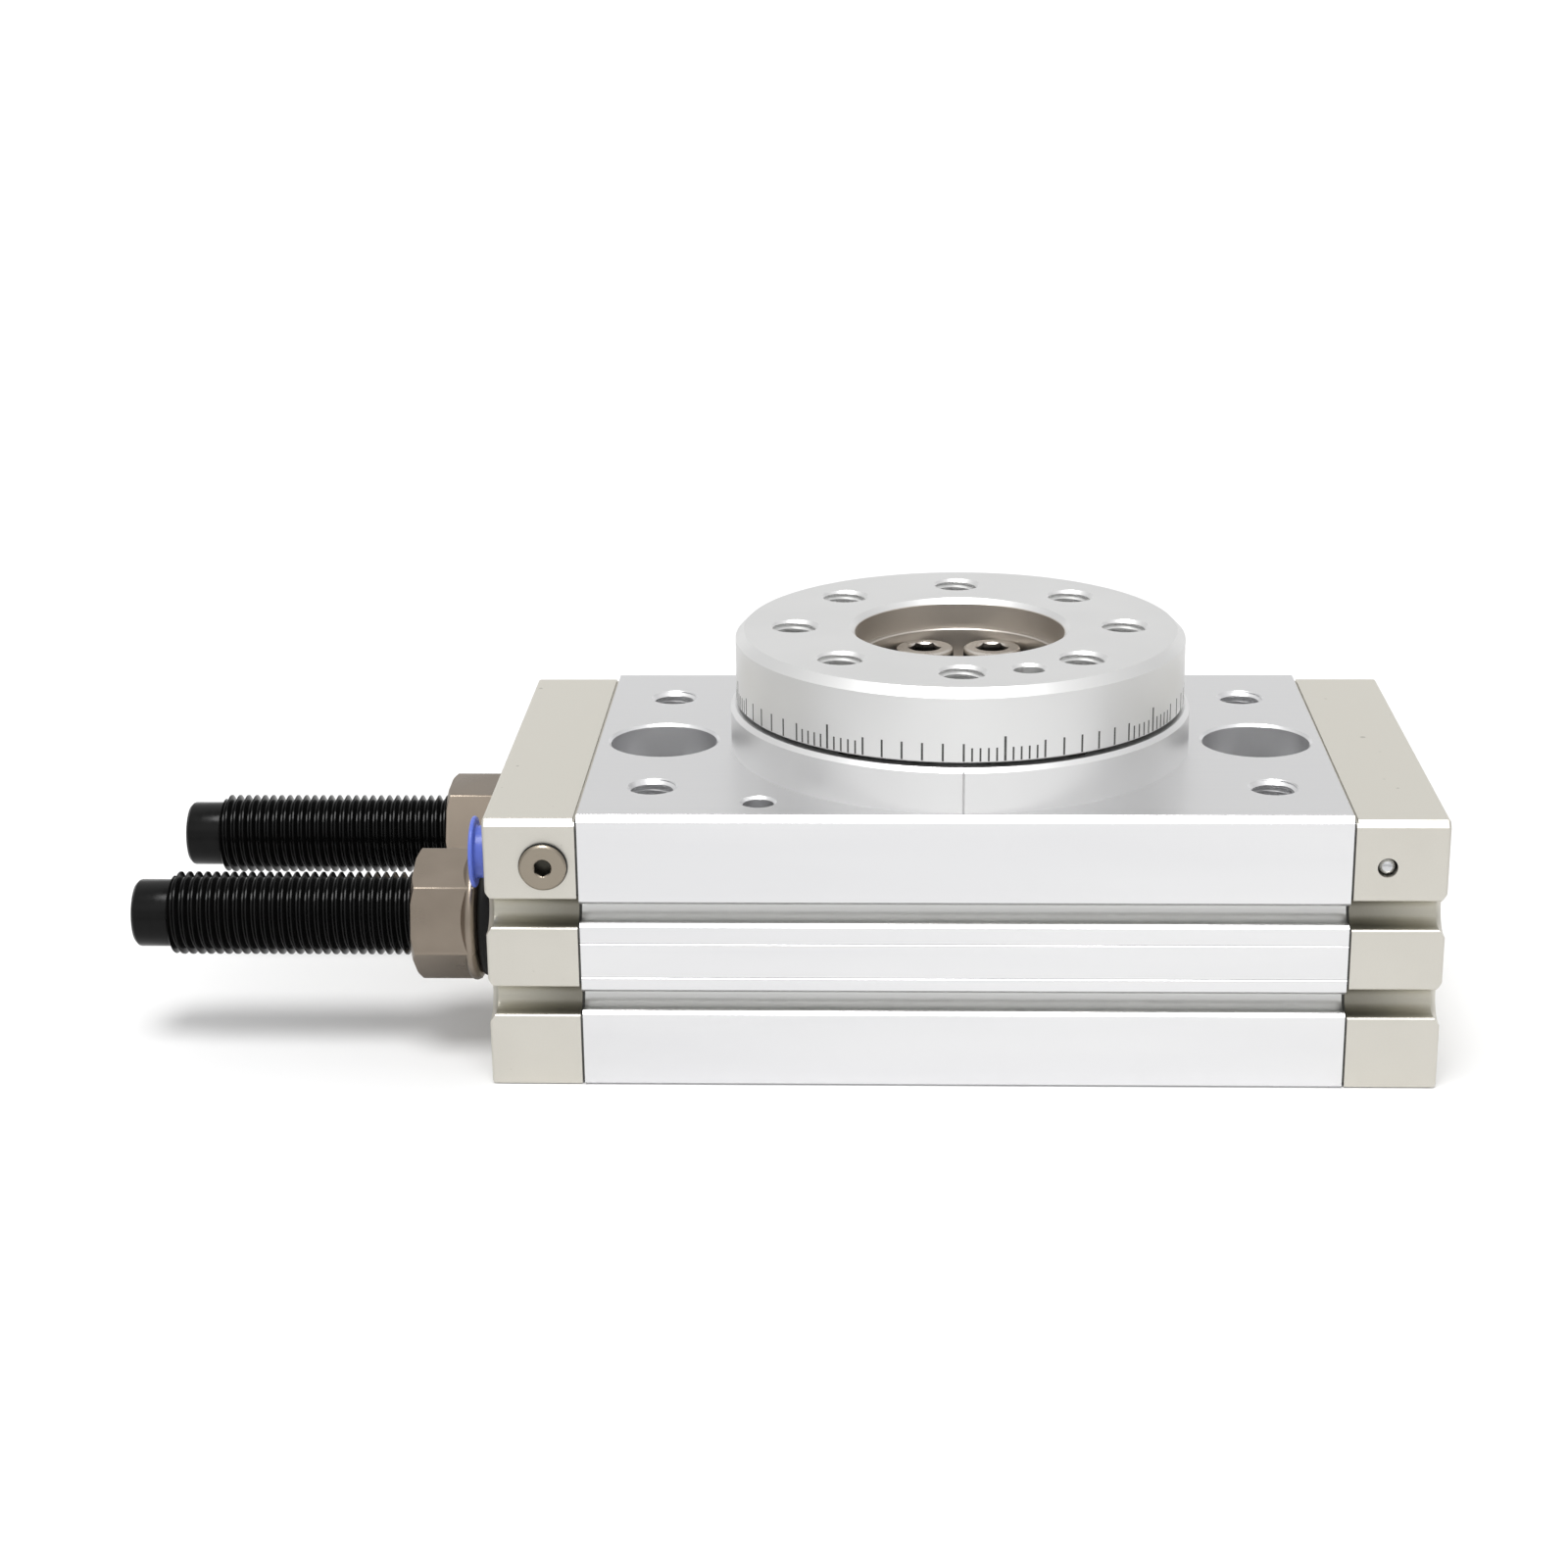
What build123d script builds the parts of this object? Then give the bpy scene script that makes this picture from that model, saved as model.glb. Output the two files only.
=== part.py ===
from build123d import *
import math
import os

# Rotary table actuator, in millimetres. Two rack pistons in parallel bores turn one pinion between them,
# and the pinion carries a round table. The origin is on the table's axis in the plane of the base.
# X runs along the body towards the closed end, Y away from the front, Z up the axis.

# Body: one bored housing between two end covers, with walls round the two bores
side_wall = 7.5
base_wall = 9.5
end_room = 2.02
long_edge_chamfer = 1.0
base_edge_chamfer = 0.4
cover_length = 14.7
cover_drop = 0.75
cover_inset = 0.2
cover_end_radius = 0.55
gasket_thickness = 0.4
gasket_inset = 0.45
fit_gap = 0.02
thread_gap = 0.1

# Cylinders and pistons
bore_radius = 12.5
rack_offset = 10.0
piston_radius = 12.3
ring_zone = 16.42
piston_end_chamfer = 0.6
ring_running_gap = 0.08
magnet_radius = 5.0
magnet_length = 4.0
magnet_inset = 0.5

# Rack and pinion
gear_module = 1.0
gear_teeth = 20
gear_width = 14.0
pressure_angle = math.radians(20.0)
backlash = 0.05
half_turn_limit = 95.0
tooth_end_margin = 9.0
root_gap = 0.05
wear_ring_step = 3.2
wear_ring_depth = 1.3
wear_ring_width = 4.0
seal_step = 9.2
seal_depth = 2.0
seal_width = 3.0

# Table bearings, and the shaft stack up the axis
register_radius = 13.0
register_depth = 3.0
snap_ring_thickness = 1.2
snap_ring_width = 2.0
snap_ring_bite = 0.7
snap_ring_lug_radius = 1.8
snap_ring_lug_hole = 0.8
snap_ring_lug_angle = math.radians(14.0)
lower_bearing_bore = 8.5
lower_bearing_width = 5.0
lower_shoulder = 1.0
lower_shoulder_radius = 11.0
chamber_gap = 1.0
upper_bearing_bore = 17.5
upper_bearing_outside = 27.5
upper_bearing_width = 10.0
upper_seat_depth = 5.0
shaft_roof = 2.0
shaft_shoulder_radius = 19.5
shaft_shoulder_height = 4.5
shoulder_side_gap = 1.0
shoulder_floor_gap = 0.2
hollow_radius = 5.0
spigot_radius = 8.0
spigot_height = 2.0
race_depth = 0.09
race_half_width = 0.22
ring_wall = 0.3
cage_half_width = 0.36
cage_side_gap = 0.35

# Bearing retainer on the housing's top
retainer_width = 11.0
retainer_height = 7.4
retainer_chamfer = 0.7
retainer_lip_radius = 23.0
index_groove = 0.3
retainer_screw_count = 6
retainer_thread_room = 3.0

# Table
table_radius = 37.5
table_gap = 0.65
table_thickness = 11.95
table_chamfer = 1.4
table_hub_radius = 20.25
table_register_radius = 17.5
table_register_depth = 5.0
table_register_chamfer = 0.9
table_recess_radius = 16.5
table_floor = 4.6
table_hole_circle = 27.5
table_hole_count = 8
tapped_m8_radius = 3.4
tapped_m8_chamfer = 0.6
table_screw_circle = 11.5
table_screw_count = 6
table_screw_end_room = 1.0
table_thread_end = 2.0
pin_hole_radius = 2.5
pin_hole_depth = 6.0
pin_hole_chamfer = 0.45
dowel_radius = 1.5
dowel_length = 9.0

# Fastener holes in the body
mount_hole_gap = 2.5
mount_hole_radius = 5.25
counterbore_radius = 9.0
counterbore_depth = 10.5
counterbore_chamfer = 0.45
top_thread_inset = 15.0
top_thread_depth = 8.0
body_pin_x = -32.5
body_pin_inset = 7.35
cover_screw_corner = 6.5
cover_screw_step = 5.5
cover_screw_drop = 5.75
cover_screw_bite = 10.0
cover_screw_end_room = 1.0

# Sensor slots along both sides, wider where they cross the covers
slot_spread = 7.5
slot_mouth = 3.3
slot_channel_radius = 2.1
slot_channel_depth = 2.6
slot_lip_chamfer = 0.5
cover_slot_radius = 2.35
cover_slot_depth = 4.0
cover_slot_lip = 0.6
face_line_heights = (18.7, 24.5)
face_line_depth = 0.15

# Air ports, plugs and caps
port_inset = 7.0
port_drop = 7.65
port_radius = 4.3
port_depth = 7.0
channel_radius = 1.7
side_hole_inset = 5.1
side_plug_head_radius = 3.8
side_plug_head = 1.1
side_plug_reach = 4.4
side_plug_socket = 2.6
side_plug_socket_depth = 2.0
ball_radius = 1.5
ball_hole_gap = 0.1
ball_channel_depth = 16.0
ball_sink = 0.1
cap_flange_radius = 6.1
cap_flange = 1.3
cap_stem = 5.5
cap_wall = 1.0
cap_edge = 0.2
cap_stem_edge = 0.5
front_cap_standoff = 1.8

# Shock absorbers, screwed through the port cover and locked by nuts
absorber_radius = 6.9
absorber_tail_radius = 5.6
absorber_tail = 6.0
absorber_reach = 61.3
absorber_tail_round = 0.8
absorber_run_out = 0.8
absorber_stroke = 11.0
absorber_rod_radius = 2.0
absorber_rod_inside = 22.0
absorber_pad_radius = 4.5
absorber_pad = 2.3
absorber_pad_edge = 0.675
stop_gap = 0.3
nut_across_flats = 19.0
nut_hex_length = 8.4
nut_flange_radius = 11.0
nut_flange = 2.7
nut_chamfer = 1.3
nut_flange_edge = 0.4
nut_turn = 19.6
absorber_seal_radius = 10.25
absorber_seal = 2.9

# Screws: thread radius, head radius, head height, socket across flats, and shares of a head's height
m4_screw = (2.0, 3.5, 4.0, 3.0)
m5_screw = (2.5, 4.25, 5.0, 4.0)
m6_low_screw = (3.0, 4.9, 4.0, 5.0)
screw_head_gap = 0.35
screw_edge_share = 0.1
screw_socket_share = 0.55

# Sizes that follow. A groove of the pistons is its place, depth and width.
sides = (-1, 1)
pitch_radius = gear_module * gear_teeth / 2
gear_tip = pitch_radius + gear_module
gear_root = pitch_radius - 1.25 * gear_module
rack_tip = pitch_radius - gear_module
rack_root = pitch_radius + 1.25 * gear_module
tooth_pitch = math.pi * gear_module
rack_travel = pitch_radius * math.radians(half_turn_limit)
toothed_half = rack_travel + tooth_end_margin
wear_ring = (toothed_half + wear_ring_step, wear_ring_depth, wear_ring_width)
piston_seal = (toothed_half + seal_step, seal_depth, seal_width)
piston_half = toothed_half + ring_zone
stop_x = piston_half + rack_travel + stop_gap

bore_offset = pitch_radius + rack_offset
bore_height = base_wall + bore_radius
half_width = bore_offset + bore_radius + side_wall
housing_end = stop_x + end_room
cover_joint = housing_end + gasket_thickness
half_length = cover_joint + cover_length
cover_half_width = half_width - cover_inset
slot_heights = (bore_height - slot_spread, bore_height + slot_spread)

lower_bearing_low = register_depth + snap_ring_thickness
lower_bearing_high = lower_bearing_low + lower_bearing_width
chamber_floor = lower_bearing_high + lower_shoulder
chamber_radius = gear_tip + chamber_gap
shaft_shoulder_low = bore_height + bore_radius + shaft_roof
upper_bearing_low = shaft_shoulder_low + shaft_shoulder_height
upper_bearing_high = upper_bearing_low + upper_bearing_width
shaft_neck_radius = gear_root - root_gap
retainer_radius = upper_bearing_outside + retainer_width
housing_height = upper_bearing_low + upper_seat_depth
cover_top = housing_height - cover_drop
retainer_screw_circle = (upper_bearing_outside + retainer_radius) / 2
retainer_top = housing_height + retainer_height
table_bottom = retainer_top + table_gap
table_recess_floor = upper_bearing_high + table_floor
table_top = table_bottom + table_thickness

mount_hole_x = retainer_radius + counterbore_radius + mount_hole_gap
top_thread_y = half_width - top_thread_inset
body_pin_y = body_pin_inset - half_width
cover_screw_low = (half_width - cover_screw_corner, cover_screw_corner)
cover_screw_high = (bore_offset - cover_screw_step, cover_top - cover_screw_drop)
port_y = half_width - port_inset
port_z = cover_top - port_drop
side_hole_x = cover_joint + side_hole_inset
absorber_inner_end = stop_x + absorber_pad + stop_gap
nut_outer_end = half_length + absorber_seal + nut_flange + nut_hex_length


def rod_x(radius, x_low, x_high, y, z):
    """Cylinder along X."""
    return Pos((x_low + x_high) / 2, y, z) * Rot(0, 90, 0) * Cylinder(radius, x_high - x_low)


def rod_y(radius, y_low, y_high, x, z):
    """Cylinder along Y."""
    return Pos(x, (y_low + y_high) / 2, z) * Rot(90, 0, 0) * Cylinder(radius, y_high - y_low)


def rod_z(radius, z_low, z_high, x=0.0, y=0.0):
    """Cylinder along Z."""
    return Pos(x, y, (z_low + z_high) / 2) * Cylinder(radius, z_high - z_low)


def block(x_low, x_high, y_low, y_high, z_low, z_high):
    """Box between two corners."""
    size = (x_high - x_low, y_high - y_low, z_high - z_low)
    centre = ((x_low + x_high) / 2, (y_low + y_high) / 2, (z_low + z_high) / 2)
    return Pos(*centre) * Box(*size)


def turned(profile):
    """Solid of revolution about Z from (radius, height) points."""
    return revolve(Plane.XZ * make_face(Polyline(*profile, close=True)), Axis.Z)


def turned_x(profile, y, z):
    """Solid of revolution about an X axis from (distance along X, radius) points."""
    face = make_face(Polyline(*profile, close=True))
    return Pos(0, y, z) * revolve(face, Axis.X)


def on_circle(radius, count, first_angle):
    """Places (x, y) spread evenly round the table's axis."""
    places = []
    for index in range(count):
        angle = math.radians(first_angle + 360.0 / count * index)
        places.append((radius * math.cos(angle), radius * math.sin(angle)))
    return places


def tapped_hole(radius, chamfer_size, top, depth, x, y):
    """Cutter for a tapped or dowel hole that opens upwards, with its countersink."""
    cone = Pos(x, y, 0) * turned([(0, top - chamfer_size), (radius, top - chamfer_size),
                                  (radius + chamfer_size, top), (0, top)])
    return rod_z(radius, top - depth, top, x, y) + cone


def socket_screw(size, length):
    """Socket head screw with its head up, and the head's seat at the origin."""
    thread_radius, head_radius, head_height, across_flats = size
    shank_radius = thread_radius - thread_gap
    edge = screw_edge_share * head_height
    body = turned([(0, -length), (shank_radius - edge, -length), (shank_radius, edge - length), (shank_radius, 0),
                   (head_radius, 0), (head_radius, head_height - edge), (head_radius - edge, head_height),
                   (0, head_height)])
    socket_depth = screw_socket_share * head_height
    socket = extrude(RegularPolygon(across_flats / math.sqrt(3), 6), socket_depth)
    return body - Pos(0, 0, head_height - socket_depth) * socket


def sensor_slot(side, height):
    """Cutter for one sensor slot of the housing: a round channel behind a narrower mouth."""
    channel_y = half_width - slot_channel_depth
    channel = rod_x(slot_channel_radius, -housing_end, housing_end, side * channel_y, height)
    half_mouth = slot_mouth / 2
    flare = slot_mouth / 2 + slot_lip_chamfer
    mouth = Polyline((channel_y, half_mouth), (half_width - slot_lip_chamfer, half_mouth), (half_width, flare),
                     (half_width + 1, flare), (half_width + 1, -flare), (half_width, -flare),
                     (half_width - slot_lip_chamfer, -half_mouth), (channel_y, -half_mouth), close=True)
    passage = extrude(Plane.YZ * make_face(mouth), housing_end, both=True)
    if side < 0:
        passage = mirror(passage, about=Plane.XZ)
    return channel + Pos(0, 0, height) * passage


def face_line(side, height):
    """Cutter for one of the fine lines along a side face."""
    outline = Polyline((half_width - face_line_depth, 0), (half_width + face_line_depth, 2 * face_line_depth),
                       (half_width + face_line_depth, -2 * face_line_depth), close=True)
    groove = extrude(Plane.YZ * make_face(outline), housing_end, both=True)
    if side < 0:
        groove = mirror(groove, about=Plane.XZ)
    return Pos(0, 0, height) * groove


def mounting_bolt_hole(x):
    """Cutter for a through bolt hole: counterbored from above, tapped from below."""
    hole = rod_z(mount_hole_radius, 0, housing_height, x, 0)
    hole += tapped_hole(counterbore_radius, counterbore_chamfer, housing_height, counterbore_depth, x, 0)
    return hole


def make_housing():
    """Bored block with the pinion chamber, bearing seats, sensor slots and fastener holes."""
    body = block(-housing_end, housing_end, -half_width, half_width, 0, housing_height)
    long_edges = body.edges().filter_by(Axis.X)
    body = chamfer(long_edges.group_by(Axis.Z)[-1], long_edge_chamfer)
    body = chamfer(body.edges().filter_by(Axis.X).group_by(Axis.Z)[0], base_edge_chamfer)
    for side in sides:
        body -= rod_x(bore_radius, -housing_end, housing_end, side * bore_offset, bore_height)
        for height in slot_heights:
            body -= sensor_slot(side, height)
        for height in face_line_heights:
            body -= face_line(side, height)
        body -= mounting_bolt_hole(side * mount_hole_x)
        for end in sides:
            body -= tapped_hole(tapped_m8_radius, tapped_m8_chamfer, housing_height, top_thread_depth,
                                end * mount_hole_x, side * top_thread_y)
    shaft_space = turned([(0, 0), (register_radius, 0), (register_radius, register_depth),
                          (register_radius + snap_ring_bite, register_depth),
                          (register_radius + snap_ring_bite, lower_bearing_low),
                          (register_radius, lower_bearing_low), (register_radius, lower_bearing_high),
                          (lower_shoulder_radius, lower_bearing_high), (lower_shoulder_radius, chamber_floor),
                          (chamber_radius, chamber_floor),
                          (chamber_radius, shaft_shoulder_low - shoulder_floor_gap),
                          (shaft_shoulder_radius + shoulder_side_gap, shaft_shoulder_low - shoulder_floor_gap),
                          (shaft_shoulder_radius + shoulder_side_gap, upper_bearing_low),
                          (upper_bearing_outside, upper_bearing_low), (upper_bearing_outside, housing_height),
                          (0, housing_height)])
    body -= shaft_space
    for x, y in on_circle(retainer_screw_circle, retainer_screw_count, 0):
        body -= rod_z(m4_screw[0], upper_bearing_low - retainer_thread_room, housing_height, x, y)
    body -= tapped_hole(pin_hole_radius, pin_hole_chamfer, housing_height, pin_hole_depth, body_pin_x, body_pin_y)
    thread_end = housing_end - cover_screw_bite - cover_screw_end_room
    for end in sides:
        for y, z in cover_screw_places():
            body -= rod_x(m5_screw[0], *sorted((end * housing_end, end * thread_end)), y, z)
    return body


def cover_screw_places():
    """Places (y, z) of the screws of one cover."""
    return [(side * y, z) for y, z in (cover_screw_low, cover_screw_high) for side in sides]


def cover_outline(inset):
    """Outline of a cover or gasket across X, with its sensor slots."""
    half = cover_half_width - inset
    low = cover_inset + inset
    high = cover_top - inset
    outline = Pos(0, (low + high) / 2) * Rectangle(2 * half, high - low)
    outline = chamfer(outline.vertices().group_by(Axis.Y)[-1], long_edge_chamfer)
    radius = cover_slot_radius + inset
    floor_y = cover_half_width - cover_slot_depth + cover_slot_radius
    for side in sides:
        for height in slot_heights:
            outline -= Pos(side * floor_y, height) * Circle(radius)
            outline -= Pos(side * (floor_y + cover_slot_depth), height) * Rectangle(2 * cover_slot_depth, 2 * radius)
    lips = outline.vertices().filter_by(lambda v: abs(abs(v.X) - half) < 0.01 and low + 1 < v.Y < high - 3)
    return fillet(lips, cover_slot_lip)


def make_cover_blank(end):
    """Cover before its own holes: outline, rounded end, bolt holes and counterbores."""
    profile = Plane.YZ * cover_outline(0)
    blank = Pos(cover_joint, 0, 0) * extrude(profile, cover_length)
    outer_face = blank.faces().sort_by(Axis.X)[-1]
    blank = fillet(outer_face.outer_wire().edges(), cover_end_radius)
    head_depth = m5_screw[2] + screw_head_gap
    for y, z in cover_screw_places():
        blank -= rod_x(m5_screw[0], cover_joint, half_length, y, z)
        blank -= rod_x(m5_screw[1] + screw_head_gap, half_length - head_depth, half_length, y, z)
    if end < 0:
        blank = mirror(blank, about=Plane.YZ)
    return blank


def make_port_cover():
    """Cover that holds the shock absorbers, the air ports and their side holes."""
    cover = make_cover_blank(-1)
    for side in sides:
        cover -= rod_x(absorber_radius + thread_gap, -half_length, -cover_joint, side * bore_offset, bore_height)
        cover -= rod_x(port_radius, -half_length, port_depth - half_length, side * port_y, port_z)
        cover -= rod_x(channel_radius, -half_length, -cover_joint, side * port_y, port_z)
        ends = sorted((side * cover_half_width, side * port_y))
        cover -= rod_y(m5_screw[0], *ends, -side_hole_x, port_z)
        groove = Pos(0, side * port_y, port_z) * Plane.YZ * SlotArc(
            Line((0, 0), (side * (bore_offset - port_y) * 0.5, (bore_height - port_z) * 0.5)), 2 * channel_radius)
        cover -= Pos(-cover_joint, 0, 0) * extrude(groove, -channel_radius)
    return cover


def make_end_cover():
    """Closed cover with a cross-drilled air channel at each side, sealed by a ball."""
    cover = make_cover_blank(1)
    for side in sides:
        ends = sorted((side * cover_half_width, side * (cover_half_width - ball_channel_depth)))
        cover -= rod_y(ball_radius + ball_hole_gap, *ends, side_hole_x, port_z)
    return cover


def make_gasket(end):
    """Flat gasket between the housing and a cover, set in a little from the outline."""
    sheet = Pos(housing_end, 0, 0) * extrude(Plane.YZ * cover_outline(gasket_inset), gasket_thickness)
    for side in sides:
        sheet -= rod_x(bore_radius, housing_end, cover_joint, side * bore_offset, bore_height)
    for y, z in cover_screw_places():
        sheet -= rod_x(m5_screw[0], housing_end, cover_joint, y, z)
    if end < 0:
        sheet = mirror(sheet, about=Plane.YZ)
    return sheet


def make_cover_screws(end):
    """Four socket head screws of one cover."""
    seat = half_length - m5_screw[2] - screw_head_gap
    length = seat - housing_end + cover_screw_bite
    screws = []
    for y, z in cover_screw_places():
        screws.append(Pos(end * seat, y, z) * Rot(0, 90 * end, 0) * socket_screw(m5_screw, length))
    return screws


def make_retainer():
    """Ring that clamps the upper bearing's outer ring, with an index line at the front."""
    ring = turned([(upper_bearing_outside + fit_gap, housing_height), (retainer_radius, housing_height),
                   (retainer_radius, retainer_top - retainer_chamfer),
                   (retainer_radius - retainer_chamfer, retainer_top), (retainer_lip_radius, retainer_top),
                   (retainer_lip_radius, upper_bearing_high), (upper_bearing_outside + fit_gap, upper_bearing_high)])
    head_depth = m4_screw[2] + screw_head_gap
    for x, y in on_circle(retainer_screw_circle, retainer_screw_count, 0):
        ring -= rod_z(m4_screw[0], housing_height, retainer_top, x, y)
        ring -= rod_z(m4_screw[1] + screw_head_gap / 2, retainer_top - head_depth, retainer_top, x, y)
    notch = Polyline((-index_groove, -retainer_radius - index_groove / 2), (0, index_groove - retainer_radius),
                     (index_groove, -retainer_radius - index_groove / 2), close=True)
    return ring - Pos(0, 0, housing_height) * extrude(make_face(notch), retainer_height)


def make_retainer_screws():
    """Screws that hold the retainer down."""
    seat = retainer_top - m4_screw[2] - screw_head_gap
    length = seat - upper_bearing_low
    places = on_circle(retainer_screw_circle, retainer_screw_count, 0)
    return [Pos(x, y, seat) * socket_screw(m4_screw, length) for x, y in places]


def bearing_rings(bore, outside, low, high):
    """Inner ring, outer ring and cage of a ball bearing, with their race grooves."""
    wall = outside - bore
    inner_edge = bore + ring_wall * wall
    outer_edge = outside - ring_wall * wall
    middle = (low + high) / 2
    groove = race_depth * wall
    half_groove = race_half_width * (high - low)
    inner = turned([(bore + fit_gap, low), (inner_edge, low), (inner_edge, middle - half_groove),
                    (inner_edge - groove, middle), (inner_edge, middle + half_groove), (inner_edge, high),
                    (bore + fit_gap, high)])
    outer = turned([(outside, low), (outer_edge, low), (outer_edge, middle - half_groove),
                    (outer_edge + groove, middle), (outer_edge, middle + half_groove), (outer_edge, high),
                    (outside, high)])
    cage_half = cage_half_width * (high - low)
    cage = turned([(inner_edge + cage_side_gap, middle - cage_half), (outer_edge - cage_side_gap, middle - cage_half),
                   (outer_edge - cage_side_gap, middle + cage_half), (inner_edge + cage_side_gap, middle + cage_half)])
    return inner, outer, cage


def make_snap_ring():
    """Internal retaining ring under the lower bearing, open at the front between its two lugs."""
    outside = register_radius + snap_ring_bite - fit_gap
    inside = outside - snap_ring_width
    ring = rod_z(outside, register_depth, lower_bearing_low) - rod_z(inside, register_depth, lower_bearing_low)
    for side in sides:
        x = side * inside * math.sin(snap_ring_lug_angle)
        y = -inside * math.cos(snap_ring_lug_angle)
        lug = rod_z(snap_ring_lug_radius, register_depth, lower_bearing_low, x, y)
        ring += lug & rod_z(outside, 0, housing_height)
        ring -= rod_z(snap_ring_lug_hole, register_depth, lower_bearing_low, x, y)
    gap_half = (inside * math.sin(snap_ring_lug_angle) - snap_ring_lug_hole) / 2
    return ring - block(-gap_half, gap_half, -outside, 0, register_depth, lower_bearing_low)


def involute_flank(points):
    """Points of one involute flank from the root circle outwards, centred on +X."""
    base_radius = pitch_radius * math.cos(pressure_angle)
    half_tooth = (math.pi / 2 * gear_module - backlash) / (2 * pitch_radius)
    at_pitch = math.tan(pressure_angle) - pressure_angle
    flank = []
    for index in range(points):
        radius = base_radius + (gear_tip - base_radius) * index / (points - 1)
        roll = math.acos(base_radius / radius)
        angle = half_tooth + at_pitch - (math.tan(roll) - roll)
        flank.append((radius * math.cos(angle), radius * math.sin(angle)))
    root_angle = half_tooth + at_pitch
    return [(gear_root * math.cos(root_angle), gear_root * math.sin(root_angle))] + flank


def make_gear():
    """Toothed part of the pinion, with one tooth towards the front and one towards the rear."""
    flank = involute_flank(4)
    mirrored = [(x, -y) for x, y in flank]
    tooth = make_face(Polyline(*mirrored, *reversed(flank), (gear_root - 1, 0), close=True))
    face = Circle(gear_root)
    for index in range(gear_teeth):
        face += Rot(0, 0, 90 + 360 / gear_teeth * index) * tooth
    return Pos(0, 0, bore_height - gear_width / 2) * extrude(face, gear_width)


def make_pinion():
    """Pinion with its journals, shoulder, hollow centre and spigot for the table."""
    shaft = turned([(hollow_radius, lower_bearing_low), (lower_bearing_bore, lower_bearing_low),
                    (lower_bearing_bore, lower_bearing_high), (shaft_neck_radius, lower_bearing_high),
                    (shaft_neck_radius, shaft_shoulder_low), (shaft_shoulder_radius, shaft_shoulder_low),
                    (shaft_shoulder_radius, upper_bearing_low), (upper_bearing_bore, upper_bearing_low),
                    (upper_bearing_bore, upper_bearing_high), (spigot_radius, upper_bearing_high),
                    (spigot_radius, upper_bearing_high + spigot_height),
                    (hollow_radius, upper_bearing_high + spigot_height)])
    shaft += make_gear() - rod_z(hollow_radius, 0, housing_height)
    for x, y in on_circle(table_screw_circle, table_screw_count, 0):
        shaft -= rod_z(m6_low_screw[0], shaft_shoulder_low + table_thread_end, upper_bearing_high, x, y)
    return shaft - dowel_hole()


def dowel_hole():
    """Cutter for the dowel that sets the table's angle, between two of the table screws."""
    x, y = on_circle(table_screw_circle, 1, 180 / table_screw_count)[0]
    return rod_z(dowel_radius + fit_gap, upper_bearing_high - dowel_length / 2,
                 upper_bearing_high + dowel_length / 2, x, y)


def make_dowel():
    """Hardened dowel between the pinion and the table."""
    x, y = on_circle(table_screw_circle, 1, 180 / table_screw_count)[0]
    half = dowel_length / 2 - fit_gap
    return rod_z(dowel_radius, upper_bearing_high - half, upper_bearing_high + half, x, y)


def make_table():
    """Round table with its centring register, eight tapped holes and a dowel hole."""
    ledge = table_top - table_register_depth
    disc = turned([(spigot_radius + fit_gap, upper_bearing_high), (table_hub_radius, upper_bearing_high),
                   (table_hub_radius, table_bottom), (table_radius, table_bottom),
                   (table_radius, table_top - table_chamfer), (table_radius - table_chamfer, table_top),
                   (table_register_radius + table_register_chamfer, table_top),
                   (table_register_radius, table_top - table_register_chamfer), (table_register_radius, ledge),
                   (table_recess_radius, ledge), (table_recess_radius, table_recess_floor),
                   (spigot_radius + fit_gap, table_recess_floor)])
    for x, y in on_circle(table_hole_circle, table_hole_count, -90):
        disc -= tapped_hole(tapped_m8_radius, tapped_m8_chamfer, table_top, table_top - table_bottom, x, y)
    pin_x, pin_y = on_circle(table_hole_circle, 1, 180 / table_hole_count - 90)[0]
    disc -= tapped_hole(pin_hole_radius, pin_hole_chamfer, table_top, pin_hole_depth, pin_x, pin_y)
    for x, y in on_circle(table_screw_circle, table_screw_count, 0):
        disc -= rod_z(m6_low_screw[0] + thread_gap, upper_bearing_high, table_recess_floor, x, y)
    return disc - dowel_hole()


def make_table_screws():
    """Low-head screws that hold the table on the pinion."""
    length = table_floor + upper_bearing_width - table_screw_end_room
    places = on_circle(table_screw_circle, table_screw_count, 0)
    return [Pos(x, y, table_recess_floor) * socket_screw(m6_low_screw, length) for x, y in places]


def piston_groove(low, depth, width):
    """Ring-shaped cutter round the rear piston's axis at each end."""
    cut = None
    for end in sides:
        ends = sorted((end * low, end * (low + width)))
        ring = rod_x(bore_radius, *ends, bore_offset, bore_height)
        ring -= rod_x(piston_radius - depth, *ends, bore_offset, bore_height)
        cut = ring if cut is None else cut + ring
    return cut


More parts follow.
